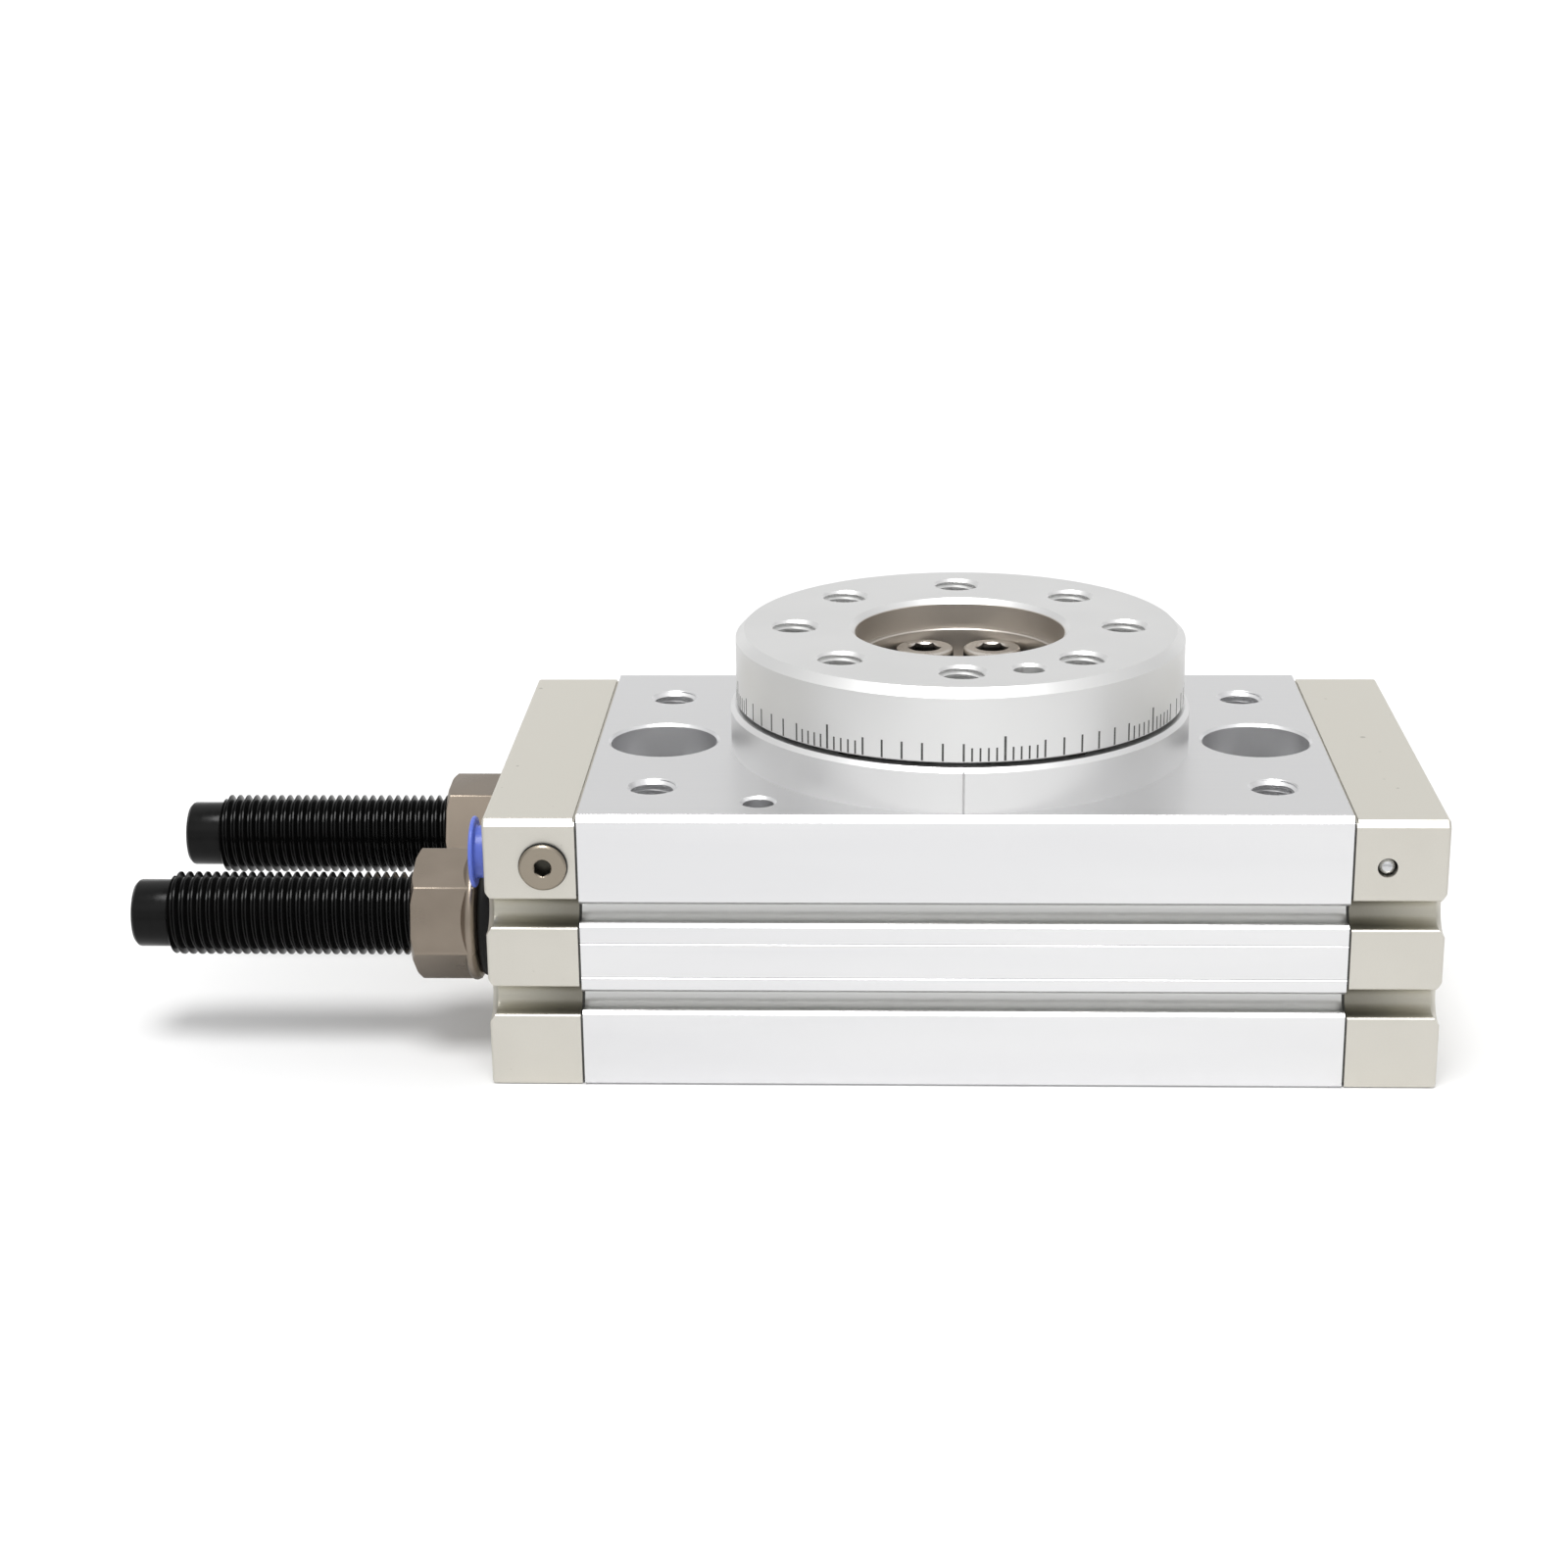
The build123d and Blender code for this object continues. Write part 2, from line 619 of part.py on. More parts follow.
def make_rack_piston(side):
    """Round piston with a rack cut along the side that faces the pinion."""
    half = piston_half
    core = half - piston_end_chamfer
    small = piston_radius - piston_end_chamfer
    rack = turned_x([(-half, 0), (-half, small), (-core, piston_radius), (core, piston_radius), (half, small),
                     (half, 0)], bore_offset, bore_height)
    rack -= block(-toothed_half, toothed_half, 0, rack_tip, 0, housing_height)
    slope = math.tan(pressure_angle)
    half_gap = tooth_pitch / 4 + backlash / 2
    at_tip = half_gap + gear_module * slope
    at_root = half_gap - 1.25 * gear_module * slope
    gap_outline = Polyline((-at_tip, rack_tip), (at_tip, rack_tip), (at_root, rack_root), (-at_root, rack_root),
                           close=True)
    gap = extrude(make_face(gap_outline), housing_height)
    count = int((toothed_half - at_tip) / tooth_pitch)
    for index in range(-count, count + 1):
        rack -= Pos(index * tooth_pitch, 0, 0) * gap
    rack -= piston_groove(*wear_ring)
    rack -= piston_groove(*piston_seal)
    rack -= rod_x(magnet_radius + fit_gap, half - magnet_length - magnet_inset, half, bore_offset, bore_height)
    return rack if side > 0 else mirror(rack, about=Plane.XZ)


def make_piston_rings(side, groove):
    """Pair of rings that fill a pair of piston grooves and run in the bore."""
    low, depth, width = groove
    rings = []
    for end in sides:
        ends = sorted((end * (low + fit_gap), end * (low + width - fit_gap)))
        ring = rod_x(bore_radius - ring_running_gap, *ends, side * bore_offset, bore_height)
        rings.append(ring - rod_x(piston_radius - depth + fit_gap, *ends, side * bore_offset, bore_height))
    return rings


def make_magnet(side):
    """Disc magnet in the closed end of a piston, for the sensors."""
    high = piston_half - magnet_inset
    return rod_x(magnet_radius, high - magnet_length, high, side * bore_offset, bore_height)


def make_absorber_body(side):
    """Threaded tube of a shock absorber, with its plain tail and the guide for its rod."""
    tip = -half_length - absorber_reach
    shoulder = tip + absorber_tail
    bore_end = -stop_x - absorber_stroke / 2 - absorber_rod_inside - absorber_stroke
    profile = [(tip, 0), (tip, absorber_tail_radius - absorber_tail_round),
               (tip + absorber_tail_round / 3, absorber_tail_radius - absorber_tail_round / 3),
               (tip + absorber_tail_round, absorber_tail_radius), (shoulder, absorber_tail_radius),
               (shoulder + absorber_run_out, absorber_radius), (-absorber_inner_end, absorber_radius),
               (-absorber_inner_end, absorber_rod_radius + thread_gap), (bore_end, absorber_rod_radius + thread_gap),
               (bore_end, 0)]
    return turned_x(profile, side * bore_offset, bore_height)


def make_absorber_rod(side):
    """Rod and pad of a shock absorber, shown at half of its stroke."""
    tip = -stop_x + absorber_stroke / 2
    back = -stop_x - absorber_stroke / 2 - absorber_rod_inside
    profile = [(tip, 0), (tip, absorber_pad_radius - absorber_pad_edge),
               (tip - absorber_pad_edge, absorber_pad_radius),
               (tip - absorber_pad, absorber_pad_radius), (tip - absorber_pad, absorber_rod_radius),
               (back, absorber_rod_radius), (back, 0)]
    return turned_x(profile, side * bore_offset, bore_height)


def make_absorber_nut(side):
    """Flanged hexagon nut that locks a shock absorber."""
    hex_end = -nut_outer_end
    flange_low = hex_end + nut_hex_length
    flange_high = flange_low + nut_flange
    corner = nut_across_flats / math.sqrt(3)
    outline = Rot(0, 0, nut_turn) * RegularPolygon(corner, 6)
    prism = Pos(hex_end, 0, 0) * extrude(Plane.YZ * outline, nut_hex_length + nut_flange / 2)
    cone = turned_x([(hex_end, 0), (hex_end, corner - nut_chamfer), (hex_end + nut_chamfer / math.sqrt(3), corner),
                     (flange_high, corner), (flange_high, 0)], 0, 0)
    flange = turned_x([(flange_low, 0), (flange_low, nut_across_flats / 2),
                       (flange_low + nut_flange / 2, nut_flange_radius),
                       (flange_high - nut_flange_edge, nut_flange_radius),
                       (flange_high, nut_flange_radius - nut_flange_edge), (flange_high, 0)], 0, 0)
    nut = (prism & cone) + flange
    nut -= rod_x(absorber_radius + thread_gap, hex_end, flange_high, 0, 0)
    return Pos(0, side * bore_offset, bore_height) * nut


def make_absorber_seal(side):
    """Rubber sealing ring between a nut and the port cover."""
    low = -half_length - absorber_seal
    ring = rod_x(absorber_seal_radius, low, -half_length, side * bore_offset, bore_height)
    return ring - rod_x(absorber_radius + thread_gap, low, -half_length, side * bore_offset, bore_height)


def make_side_plug(side):
    """Hollow-hexagon plug in the side hole of an air port."""
    size = (m5_screw[0], side_plug_head_radius, side_plug_head, side_plug_socket)
    plug = socket_screw(size, side_plug_reach)
    socket = extrude(RegularPolygon(side_plug_socket / math.sqrt(3), 6), side_plug_socket_depth)
    plug -= Pos(0, 0, side_plug_head - side_plug_socket_depth) * socket
    plug = Rot(0, 0, 30) * plug
    return Pos(-side_hole_x, side * cover_half_width, port_z) * Rot(-90 * side, 0, 0) * plug


def make_channel_ball(side):
    """Steel ball pressed into the mouth of an air channel."""
    return Pos(side_hole_x, side * (cover_half_width - ball_radius - ball_sink), port_z) * Sphere(ball_radius)


def make_port_cap(side, standoff):
    """Push-in dust cap of an air port, hollow from its outer face."""
    face = -half_length - standoff
    stem_radius = port_radius - thread_gap
    stem_end = face + cap_stem
    profile = [(face - cap_flange, stem_radius - cap_wall), (face - cap_flange, cap_flange_radius - cap_edge),
               (face - cap_flange + cap_edge, cap_flange_radius), (face, cap_flange_radius),
               (face, stem_radius), (stem_end - cap_stem_edge, stem_radius),
               (stem_end, stem_radius - cap_stem_edge), (stem_end, 0), (stem_end - cap_wall, 0),
               (stem_end - cap_wall, stem_radius - cap_wall)]
    return turned_x(profile, side * port_y, port_z)


def save(name, *solids):
    """Write one node, of one or more separate solids."""
    shape = solids[0] if len(solids) == 1 else Compound(children=list(solids))
    export_step(shape, "parts/" + name + ".step")


os.makedirs("parts", exist_ok=True)
save("housing", make_housing())
save("port_cover", make_port_cover())
save("end_cover", make_end_cover())
for end, cover_name in ((-1, "port_cover"), (1, "end_cover")):
    save(cover_name + "_gasket", make_gasket(end))
    save(cover_name + "_screws", *make_cover_screws(end))
save("bearing_retainer", make_retainer())
save("retainer_screws", *make_retainer_screws())
for place, bore, outside, low, high in (
        ("lower", lower_bearing_bore, register_radius, lower_bearing_low, lower_bearing_high),
        ("upper", upper_bearing_bore, upper_bearing_outside, upper_bearing_low, upper_bearing_high)):
    inner, outer, cage = bearing_rings(bore, outside, low, high)
    save(place + "_bearing_inner_ring", inner)
    save(place + "_bearing_outer_ring", outer)
    save(place + "_bearing_cage", cage)
save("lower_retaining_ring", make_snap_ring())
save("pinion_shaft", make_pinion())
save("table_dowel", make_dowel())
save("table", make_table())
save("table_screws", *make_table_screws())
for side, name in ((-1, "front"), (1, "rear")):
    save(name + "_rack_piston", make_rack_piston(side))
    save(name + "_wear_rings", *make_piston_rings(side, wear_ring))
    save(name + "_piston_seals", *make_piston_rings(side, piston_seal))
    save(name + "_magnet", make_magnet(side))
    save(name + "_absorber_body", make_absorber_body(side))
    save(name + "_absorber_rod", make_absorber_rod(side))
    save(name + "_absorber_nut", make_absorber_nut(side))
    save(name + "_absorber_seal", make_absorber_seal(side))
    save(name + "_side_plug", make_side_plug(side))
    save(name + "_channel_ball", make_channel_ball(side))
save("front_port_cap", make_port_cap(-1, front_cap_standoff))
save("rear_port_cap", make_port_cap(1, 0.0))
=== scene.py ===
import math
import bpy
from mathutils import Matrix, Vector


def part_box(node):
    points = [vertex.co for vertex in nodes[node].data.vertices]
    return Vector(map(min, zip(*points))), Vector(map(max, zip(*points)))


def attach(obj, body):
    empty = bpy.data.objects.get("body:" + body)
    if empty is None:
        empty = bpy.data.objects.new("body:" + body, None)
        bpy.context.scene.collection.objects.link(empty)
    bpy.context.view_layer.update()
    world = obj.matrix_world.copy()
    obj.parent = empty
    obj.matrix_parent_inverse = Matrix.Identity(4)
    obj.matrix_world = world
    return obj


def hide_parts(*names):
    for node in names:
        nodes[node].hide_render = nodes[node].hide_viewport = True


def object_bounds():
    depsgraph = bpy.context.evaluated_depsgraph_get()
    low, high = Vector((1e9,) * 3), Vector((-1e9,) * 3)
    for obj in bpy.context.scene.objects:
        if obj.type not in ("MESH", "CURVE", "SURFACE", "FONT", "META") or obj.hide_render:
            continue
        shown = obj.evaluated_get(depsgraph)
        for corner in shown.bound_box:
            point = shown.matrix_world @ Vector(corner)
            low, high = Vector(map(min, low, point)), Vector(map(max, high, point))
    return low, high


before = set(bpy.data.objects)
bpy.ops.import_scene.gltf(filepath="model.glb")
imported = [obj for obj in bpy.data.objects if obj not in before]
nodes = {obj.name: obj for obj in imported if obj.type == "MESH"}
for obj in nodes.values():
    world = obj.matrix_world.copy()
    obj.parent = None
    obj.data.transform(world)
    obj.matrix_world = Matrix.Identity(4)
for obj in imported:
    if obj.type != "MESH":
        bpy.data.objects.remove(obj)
cad_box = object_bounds()


# Housing: a drawn aluminium bar, bored through for the two pistons and slotted along both sides for the
# sensors. Its sides keep the fine lines of the drawing die along X, its top is milled flat and blasted, and
# all of it is anodised clear. The M8 threads in its top and the M12 threads in its base are real helices.
mm = 0.001


def new_finish(name, colour, metallic, roughness):
    """A material with its shader set, and the coordinates of the piece that wears it."""
    material = bpy.data.materials.new(name)
    material.use_nodes = True
    tree = material.node_tree
    shader = tree.nodes["Principled BSDF"]
    shader.inputs["Base Color"].default_value = (*colour, 1.0)
    shader.inputs["Metallic"].default_value = metallic
    shader.inputs["Roughness"].default_value = roughness
    place = tree.nodes.new("ShaderNodeTexCoord").outputs["Object"]
    return material, tree, shader, place


def split_axes(tree, place):
    """X, Y and Z of a place or a direction."""
    axes = tree.nodes.new("ShaderNodeSeparateXYZ")
    tree.links.new(place, axes.inputs["Vector"])
    return axes.outputs


def grain(tree, place, per_metre, detail=3.0):
    """Noise with so many grains per metre, either one number or one each along X, Y and Z."""
    stretch = tree.nodes.new("ShaderNodeMapping")
    stretch.inputs["Scale"].default_value = per_metre if isinstance(per_metre, tuple) else (per_metre,) * 3
    tree.links.new(place, stretch.inputs["Vector"])
    texture = tree.nodes.new("ShaderNodeTexNoise")
    texture.inputs["Scale"].default_value = 1.0
    texture.inputs["Detail"].default_value = detail
    tree.links.new(stretch.outputs["Vector"], texture.inputs["Vector"])
    return texture.outputs["Fac"]


def spread(tree, factor, low, high, to_low, to_high):
    """The factor from low to high, spread over another range."""
    node = tree.nodes.new("ShaderNodeMapRange")
    node.inputs["From Min"].default_value = low
    node.inputs["From Max"].default_value = high
    node.inputs["To Min"].default_value = to_low
    node.inputs["To Max"].default_value = to_high
    tree.links.new(factor, node.inputs["Value"])
    return node.outputs["Result"]


def soft_step(tree, value, start, full):
    """0 before start and 1 past full, with a smooth turn between them."""
    node = tree.nodes.new("ShaderNodeMapRange")
    node.interpolation_type = "SMOOTHSTEP"
    node.inputs["From Min"].default_value = start
    node.inputs["From Max"].default_value = full
    tree.links.new(value, node.inputs["Value"])
    return node.outputs["Result"]


def calculate(tree, operation, first, second=None):
    """One step of arithmetic on factors or numbers."""
    node = tree.nodes.new("ShaderNodeMath")
    node.operation = operation
    for socket, value in zip(node.inputs, (first, second)):
        if isinstance(value, (int, float)):
            socket.default_value = value
        elif value is not None:
            tree.links.new(value, socket)
    return node.outputs["Value"]


def mixed(tree, factor, first, second):
    """Colour between two colours, each plain or from a node."""
    node = tree.nodes.new("ShaderNodeMix")
    node.data_type = "RGBA"
    colour_inputs = [socket for socket in node.inputs if socket.type == "RGBA"]
    for socket, value in zip(colour_inputs, (first, second)):
        if isinstance(value, tuple):
            socket.default_value = (*value, 1.0)
        else:
            tree.links.new(value, socket)
    tree.links.new(factor, node.inputs["Factor"])
    return [socket for socket in node.outputs if socket.type == "RGBA"][0]


def relief(tree, shader, height, depth, below=None):
    """Bump of that depth in metres, on top of another bump if there is one below."""
    bump = tree.nodes.new("ShaderNodeBump")
    bump.inputs["Strength"].default_value = 1.0
    bump.inputs["Distance"].default_value = depth
    tree.links.new(height, bump.inputs["Height"])
    if below is not None:
        tree.links.new(below, bump.inputs["Normal"])
    tree.links.new(bump.outputs["Normal"], shader.inputs["Normal"])
    return bump.outputs["Normal"]


housing_side, housing_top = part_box("housing")[1].yz
slot_heights = (14.5 * mm, 29.5 * mm)
slot_depth = 5.0 * mm


def inside_slots(tree, place, face_y, half_height, half_length):
    """1 inside the sensor slots of both sides, from behind the side face to the floor."""
    axes = split_axes(tree, place)
    across = calculate(tree, "ABSOLUTE", axes["Y"])
    along = calculate(tree, "ABSOLUTE", axes["X"])
    behind = soft_step(tree, across, face_y - 0.1 * mm, face_y - 0.9 * mm)
    in_reach = soft_step(tree, across, face_y - slot_depth - 0.5 * mm, face_y - slot_depth)
    before_end = soft_step(tree, along, half_length - 0.1 * mm, half_length - 1.0 * mm)
    near = None
    for height in slot_heights:
        away = calculate(tree, "ABSOLUTE", calculate(tree, "SUBTRACT", axes["Z"], height))
        close = soft_step(tree, away, half_height + 0.3 * mm, half_height)
        near = close if near is None else calculate(tree, "MAXIMUM", near, close)
    inside = calculate(tree, "MULTIPLY", calculate(tree, "MULTIPLY", behind, in_reach), before_end)
    return calculate(tree, "MULTIPLY", inside, near)


def drawn_aluminium():
    """Clear anodised bar: long drawing lines on the sides, a blasted top, and painted shade inside the slots.
    """
    material, tree, shader, place = new_finish("drawn_aluminium", (0.84, 0.84, 0.85), 1.0, 0.34)
    height = split_axes(tree, place)["Z"]
    on_top = soft_step(tree, height, housing_top - 0.3 * mm, housing_top - 0.1 * mm)
    lines = grain(tree, place, (6.0, 2600.0, 2600.0), 4.0)
    speckle = grain(tree, place, 3200.0, 2.0)
    patches = grain(tree, place, (9.0, 60.0, 60.0), 2.0)
    surface = tree.nodes.new("ShaderNodeMix")
    tree.links.new(on_top, surface.inputs["Factor"])
    tree.links.new(lines, surface.inputs["A"])
    tree.links.new(speckle, surface.inputs["B"])
    relief(tree, shader, surface.outputs["Result"], 0.0035 * mm)
    patchy = spread(tree, patches, 0.35, 0.65, 0.0, 1.0)
    bright = mixed(tree, patchy, (0.81, 0.81, 0.82), (0.86, 0.86, 0.865))
    outside = mixed(tree, on_top, bright, (0.81, 0.81, 0.815))
    past_both_ends = 1.0
    slot_shade_mask = inside_slots(tree, place, housing_side, half_height=2.2 * mm, half_length=past_both_ends)
    # Painted shade: the base colour turns darker inside the sensor slots.
    tree.links.new(mixed(tree, slot_shade_mask, outside, (0.74, 0.74, 0.73)), shader.inputs["Base Color"])
    tree.links.new(spread(tree, lines, 0.3, 0.7, 0.30, 0.38), shader.inputs["Roughness"])
    return material


weld = 0.0005 * mm


def outline_piece(name, points, closed):
    """Mesh line through (x, z) points, drawn from one vertex of a small plane."""
    bpy.ops.object.select_all(action="DESELECT")
    bpy.ops.mesh.primitive_plane_add(size=mm)
    piece = bpy.context.object
    piece.name = name
    bpy.ops.object.mode_set(mode="EDIT")
    bpy.ops.mesh.select_all(action="SELECT")
    bpy.ops.mesh.merge(type="CENTER")
    bpy.ops.transform.translate(value=(points[0][0], 0.0, points[0][1]))
    path = points + points[:1] if closed else points
    for (x, z), (next_x, next_z) in zip(path, path[1:]):
        bpy.ops.mesh.extrude_region_move(TRANSFORM_OT_translate={"value": (next_x - x, 0.0, next_z - z)})
    bpy.ops.mesh.select_all(action="SELECT")
    bpy.ops.mesh.remove_doubles(threshold=weld)
    return piece


def turned_piece(name, points, steps, closed=False):
    """Piece turned about Z from its (radius, height) outline."""
    piece = outline_piece(name, points, closed)
    bpy.ops.mesh.spin(steps=steps, angle=2 * math.pi, center=(0, 0, 0), axis=(0, 0, 1))
    bpy.ops.mesh.select_all(action="SELECT")
    bpy.ops.mesh.remove_doubles(threshold=weld)
    bpy.ops.mesh.normals_make_consistent(inside=False)
    bpy.ops.object.mode_set(mode="OBJECT")
    return piece


def screw_thread(name, major, pitch, low, high, steps=40):
    """Solid thread along Z from low to high, wound past both ends and then cut square there."""
    minor = major - 0.61 * pitch
    half_crest = 0.07 * pitch
    half_root = 0.43 * pitch
    start = low - 2.37 * pitch
    points = [(minor, start), (major, start + half_root - half_crest),
              (major, start + half_root + half_crest), (minor, start + 2 * half_root), (minor, start + pitch)]
    piece = outline_piece(name, points, False)
    bpy.ops.object.mode_set(mode="OBJECT")
    screw = piece.modifiers.new("screw", "SCREW")
    screw.axis = "Z"
    screw.angle = 2 * math.pi
    screw.screw_offset = pitch
    screw.iterations = math.ceil((high - low) / pitch) + 4
    screw.steps = steps
    screw.render_steps = steps
    screw.use_merge_vertices = True
    screw.merge_threshold = weld
    bpy.ops.object.modifier_apply(modifier="screw")
    bpy.ops.object.mode_set(mode="EDIT")
    for height, way in ((low, -1), (high, 1)):
        bpy.ops.mesh.select_all(action="SELECT")
        bpy.ops.mesh.bisect(plane_co=(0, 0, height), plane_no=(0, 0, way), use_fill=True, clear_outer=True,
                            threshold=0.0001 * mm)
    bpy.ops.mesh.select_all(action="SELECT")
    bpy.ops.mesh.remove_doubles(threshold=weld)
    bpy.ops.mesh.normals_make_consistent(inside=False)
    bpy.ops.object.mode_set(mode="OBJECT")
    return piece


def select_only(piece):
    """Make a piece the only one selected, and the active one."""
    bpy.ops.object.select_all(action="DESELECT")
    piece.select_set(True)
    bpy.context.view_layer.objects.active = piece


def place_piece(piece, matrix):
    """Move a piece and settle the move in its mesh."""
    select_only(piece)
    piece.matrix_world = matrix
    bpy.ops.object.transform_apply(location=True, rotation=True, scale=True)


def join_pieces(pieces):
    """Several pieces as one object."""
    select_only(pieces[0])
    for piece in pieces:
        piece.select_set(True)
    bpy.ops.object.join()
    return pieces[0]


def copies_at(piece, matrices):
    """Copies of a piece, each with its own mesh, joined in one; the piece itself is used up."""
    copies = []
    for matrix in matrices:
        select_only(piece)
        bpy.ops.object.duplicate(linked=False)
        copies.append(bpy.context.object)
        place_piece(copies[-1], matrix)
    bpy.data.objects.remove(piece, do_unlink=True)
    return join_pieces(copies)


def combine(piece, tool, operation):
    """Cut, join or trim a piece by a tool, which is used up."""
    select_only(piece)
    modifier = piece.modifiers.new("combine", "BOOLEAN")
    modifier.operation = operation
    modifier.solver = "EXACT"
    modifier.object = tool
    bpy.ops.object.modifier_apply(modifier="combine")
    bpy.data.objects.remove(tool, do_unlink=True)


def finish_piece(piece, name, material, body, replaced=()):
    """Name a new piece, shade it, give it its finish, and let it ride on its body."""
    piece.name = name
    select_only(piece)
    bpy.ops.object.shade_smooth_by_angle(angle=math.radians(28))
    piece.data.materials.clear()
    piece.data.materials.append(material)
    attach(piece, body)
    if replaced:
        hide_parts(*replaced)


def merged_copy(node):
    """Copy of a CAD node with its loose triangles joined up."""
    copy = bpy.data.objects.new(node + "_copy", nodes[node].data.copy())
    bpy.context.scene.collection.objects.link(copy)
    select_only(copy)
    bpy.ops.mesh.customdata_custom_splitnormals_clear()
    bpy.ops.object.mode_set(mode="EDIT")
    bpy.ops.mesh.select_all(action="SELECT")
    bpy.ops.mesh.remove_doubles(threshold=weld)
    bpy.ops.object.mode_set(mode="OBJECT")
    return copy


overshoot = 1 * mm
m8_radius = 4.0 * mm
m8_pitch = 1.25 * mm
m8_sink_radius = 4.1 * mm
m8_sink_floor = 3.4 * mm
m8_sink_depth = 0.75 * mm


def threaded_hole(top, depth):
    """Cutter for an M8 thread with its countersink, at the origin."""
    thread = screw_thread("m8_thread", m8_radius, m8_pitch, top - depth, top + overshoot)
    sink = turned_piece("m8_sink", [
        (0, top - m8_sink_depth), (m8_sink_floor, top - m8_sink_depth), (m8_sink_radius, top),
        (m8_sink_radius, top + overshoot), (0, top + overshoot)], steps=48)
    combine(thread, sink, "UNION")
    return thread


hole_x = 50.0 * mm
hole_y = 25.0 * mm
m8_depth = 8.0 * mm
m12_radius = 6.0 * mm
m12_pitch = 1.75 * mm
m12_depth = 18 * mm
housing = merged_copy("housing")
m8_places = [Matrix.Translation((x * hole_x, y * hole_y, 0)) for x in (-1, 1) for y in (-1, 1)]
combine(housing, copies_at(threaded_hole(housing_top, m8_depth), m8_places), "DIFFERENCE")
m12_thread = screw_thread("m12_thread", m12_radius, m12_pitch, -overshoot, m12_depth)
m12_places = [Matrix.Translation((x * hole_x, 0, 0)) for x in (-1, 1)]
combine(housing, copies_at(m12_thread, m12_places), "DIFFERENCE")
finish_piece(housing, "bored_housing", drawn_aluminium(), "body", ["housing"])


# End covers: milled from bar, blasted and anodised, so they come out a little warmer and duller than the
# housing. Each closes both cylinders and is held by four screws in counterbores; the left one also holds the
# air ports. The ends of their sensor slots flare, and a narrow step runs along the top edge at the gasket.
port_cover_low, port_cover_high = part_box("port_cover")
cover_end = -port_cover_low.x
cover_joint = -port_cover_high.x
cover_side = port_cover_high.y
cover_top = port_cover_high.z


def blasted_aluminium():
    """Blasted and anodised cover: a fine even grain and a rare speck; its top painted lighter as lit from
    above, and painted shade in its slots, darkest near the housing.
    """
    material, tree, shader, place = new_finish("blasted_aluminium", (0.74, 0.72, 0.65), 1.0, 0.46)
    blast = grain(tree, place, 4200.0)
    clouds = grain(tree, place, 120.0)
    specks = grain(tree, place, 620.0, 0.0)
    relief(tree, shader, blast, 0.0016 * mm)
    axes = split_axes(tree, place)
    on_top = soft_step(tree, axes["Z"], cover_top - 0.2 * mm, cover_top - 0.05 * mm)
    sides = mixed(tree, clouds, (0.675, 0.652, 0.592), (0.712, 0.69, 0.63))
    # Painted light: the top gets a lighter colour than the sides, as lit from above.
    even = mixed(tree, on_top, sides, (0.765, 0.742, 0.672))
    speckled = mixed(tree, spread(tree, specks, 0.12, 0.16, 0.0, 1.0), (0.58, 0.56, 0.50), even)
    outwards = soft_step(tree, calculate(tree, "ABSOLUTE", axes["X"]), cover_joint, cover_end)
    # Painted shade in the slots: darkest at the housing, lighter towards the cover's outer end.
    slot_shade_tone = mixed(tree, outwards, (0.29, 0.277, 0.235), (0.56, 0.54, 0.47))
    slot_shade_mask = inside_slots(tree, place, cover_side, half_height=2.5 * mm, half_length=cover_end)
    tree.links.new(mixed(tree, slot_shade_mask, speckled, slot_shade_tone), shader.inputs["Base Color"])
    tree.links.new(spread(tree, blast, 0.3, 0.7, 0.42, 0.50), shader.inputs["Roughness"])
    return material


slot_radius = 2.35 * mm
slot_centre = cover_side - 4.0 * mm + slot_radius
slot_sink = 1.0 * mm
slot_flare = 1.4
slot_opening = 6 * mm


def slot_countersinks(way):
    """Cutter that flares the ends of a cover's four sensor slots."""
    reach = slot_sink + 0.2 * mm
    sinks = []
    for side in (-1, 1):
        for height in slot_heights:
            bpy.ops.object.select_all(action="DESELECT")
            centre = (way * (cover_end - slot_sink + reach / 2), side * slot_centre, height)
            bpy.ops.mesh.primitive_cone_add(vertices=64, radius1=slot_radius,
                                            radius2=slot_radius + slot_flare * reach, depth=reach,
                                            location=centre, rotation=(0, way * math.pi / 2, 0))
            sink = bpy.context.object
            bpy.ops.object.mode_set(mode="EDIT")
            bpy.ops.mesh.duplicate_move(TRANSFORM_OT_translate={"value": (0, side * slot_opening, 0)})
            bpy.ops.mesh.select_all(action="SELECT")
            bpy.ops.mesh.convex_hull()
            bpy.ops.object.mode_set(mode="OBJECT")
            bpy.ops.object.transform_apply(location=True, rotation=True, scale=True)
            sinks.append(sink)
    return join_pieces(sinks)


joint_notch = 0.3 * mm
notch_depth = 0.45 * mm


def joint_step(way):
    """Cutter for the narrow step along a cover's top edge, at the gasket."""
    bpy.ops.object.select_all(action="DESELECT")
    bpy.ops.mesh.primitive_cube_add(size=1.0, location=(way * cover_joint, 0, cover_top + overshoot))
    step = bpy.context.object
    step.scale = (2 * joint_notch, 3 * cover_side, 2 * overshoot + 2 * notch_depth)
    bpy.ops.object.transform_apply(location=True, rotation=True, scale=True)
    return step


cover_finish = blasted_aluminium()
for node, name, way in (("port_cover", "ported_cover", -1), ("end_cover", "blind_cover", 1)):
    cover = merged_copy(node)
    combine(cover, slot_countersinks(way), "DIFFERENCE")
    combine(cover, joint_step(way), "DIFFERENCE")
    finish_piece(cover, name, cover_finish, "body", [node])


# Gaskets: thin sheets between the housing and its covers, cut from dark rubber with their edges just short
# of the metal, and pressed flat by the cover screws.
def tint(tree, shader, factor, dark, light):
    """Colour from dark to light as the factor goes from 0 to 1."""
    tree.links.new(mixed(tree, factor, dark, light), shader.inputs["Base Color"])


def dress(node, material):
    """Give a CAD node its finish."""
    nodes[node].data.materials[0] = material


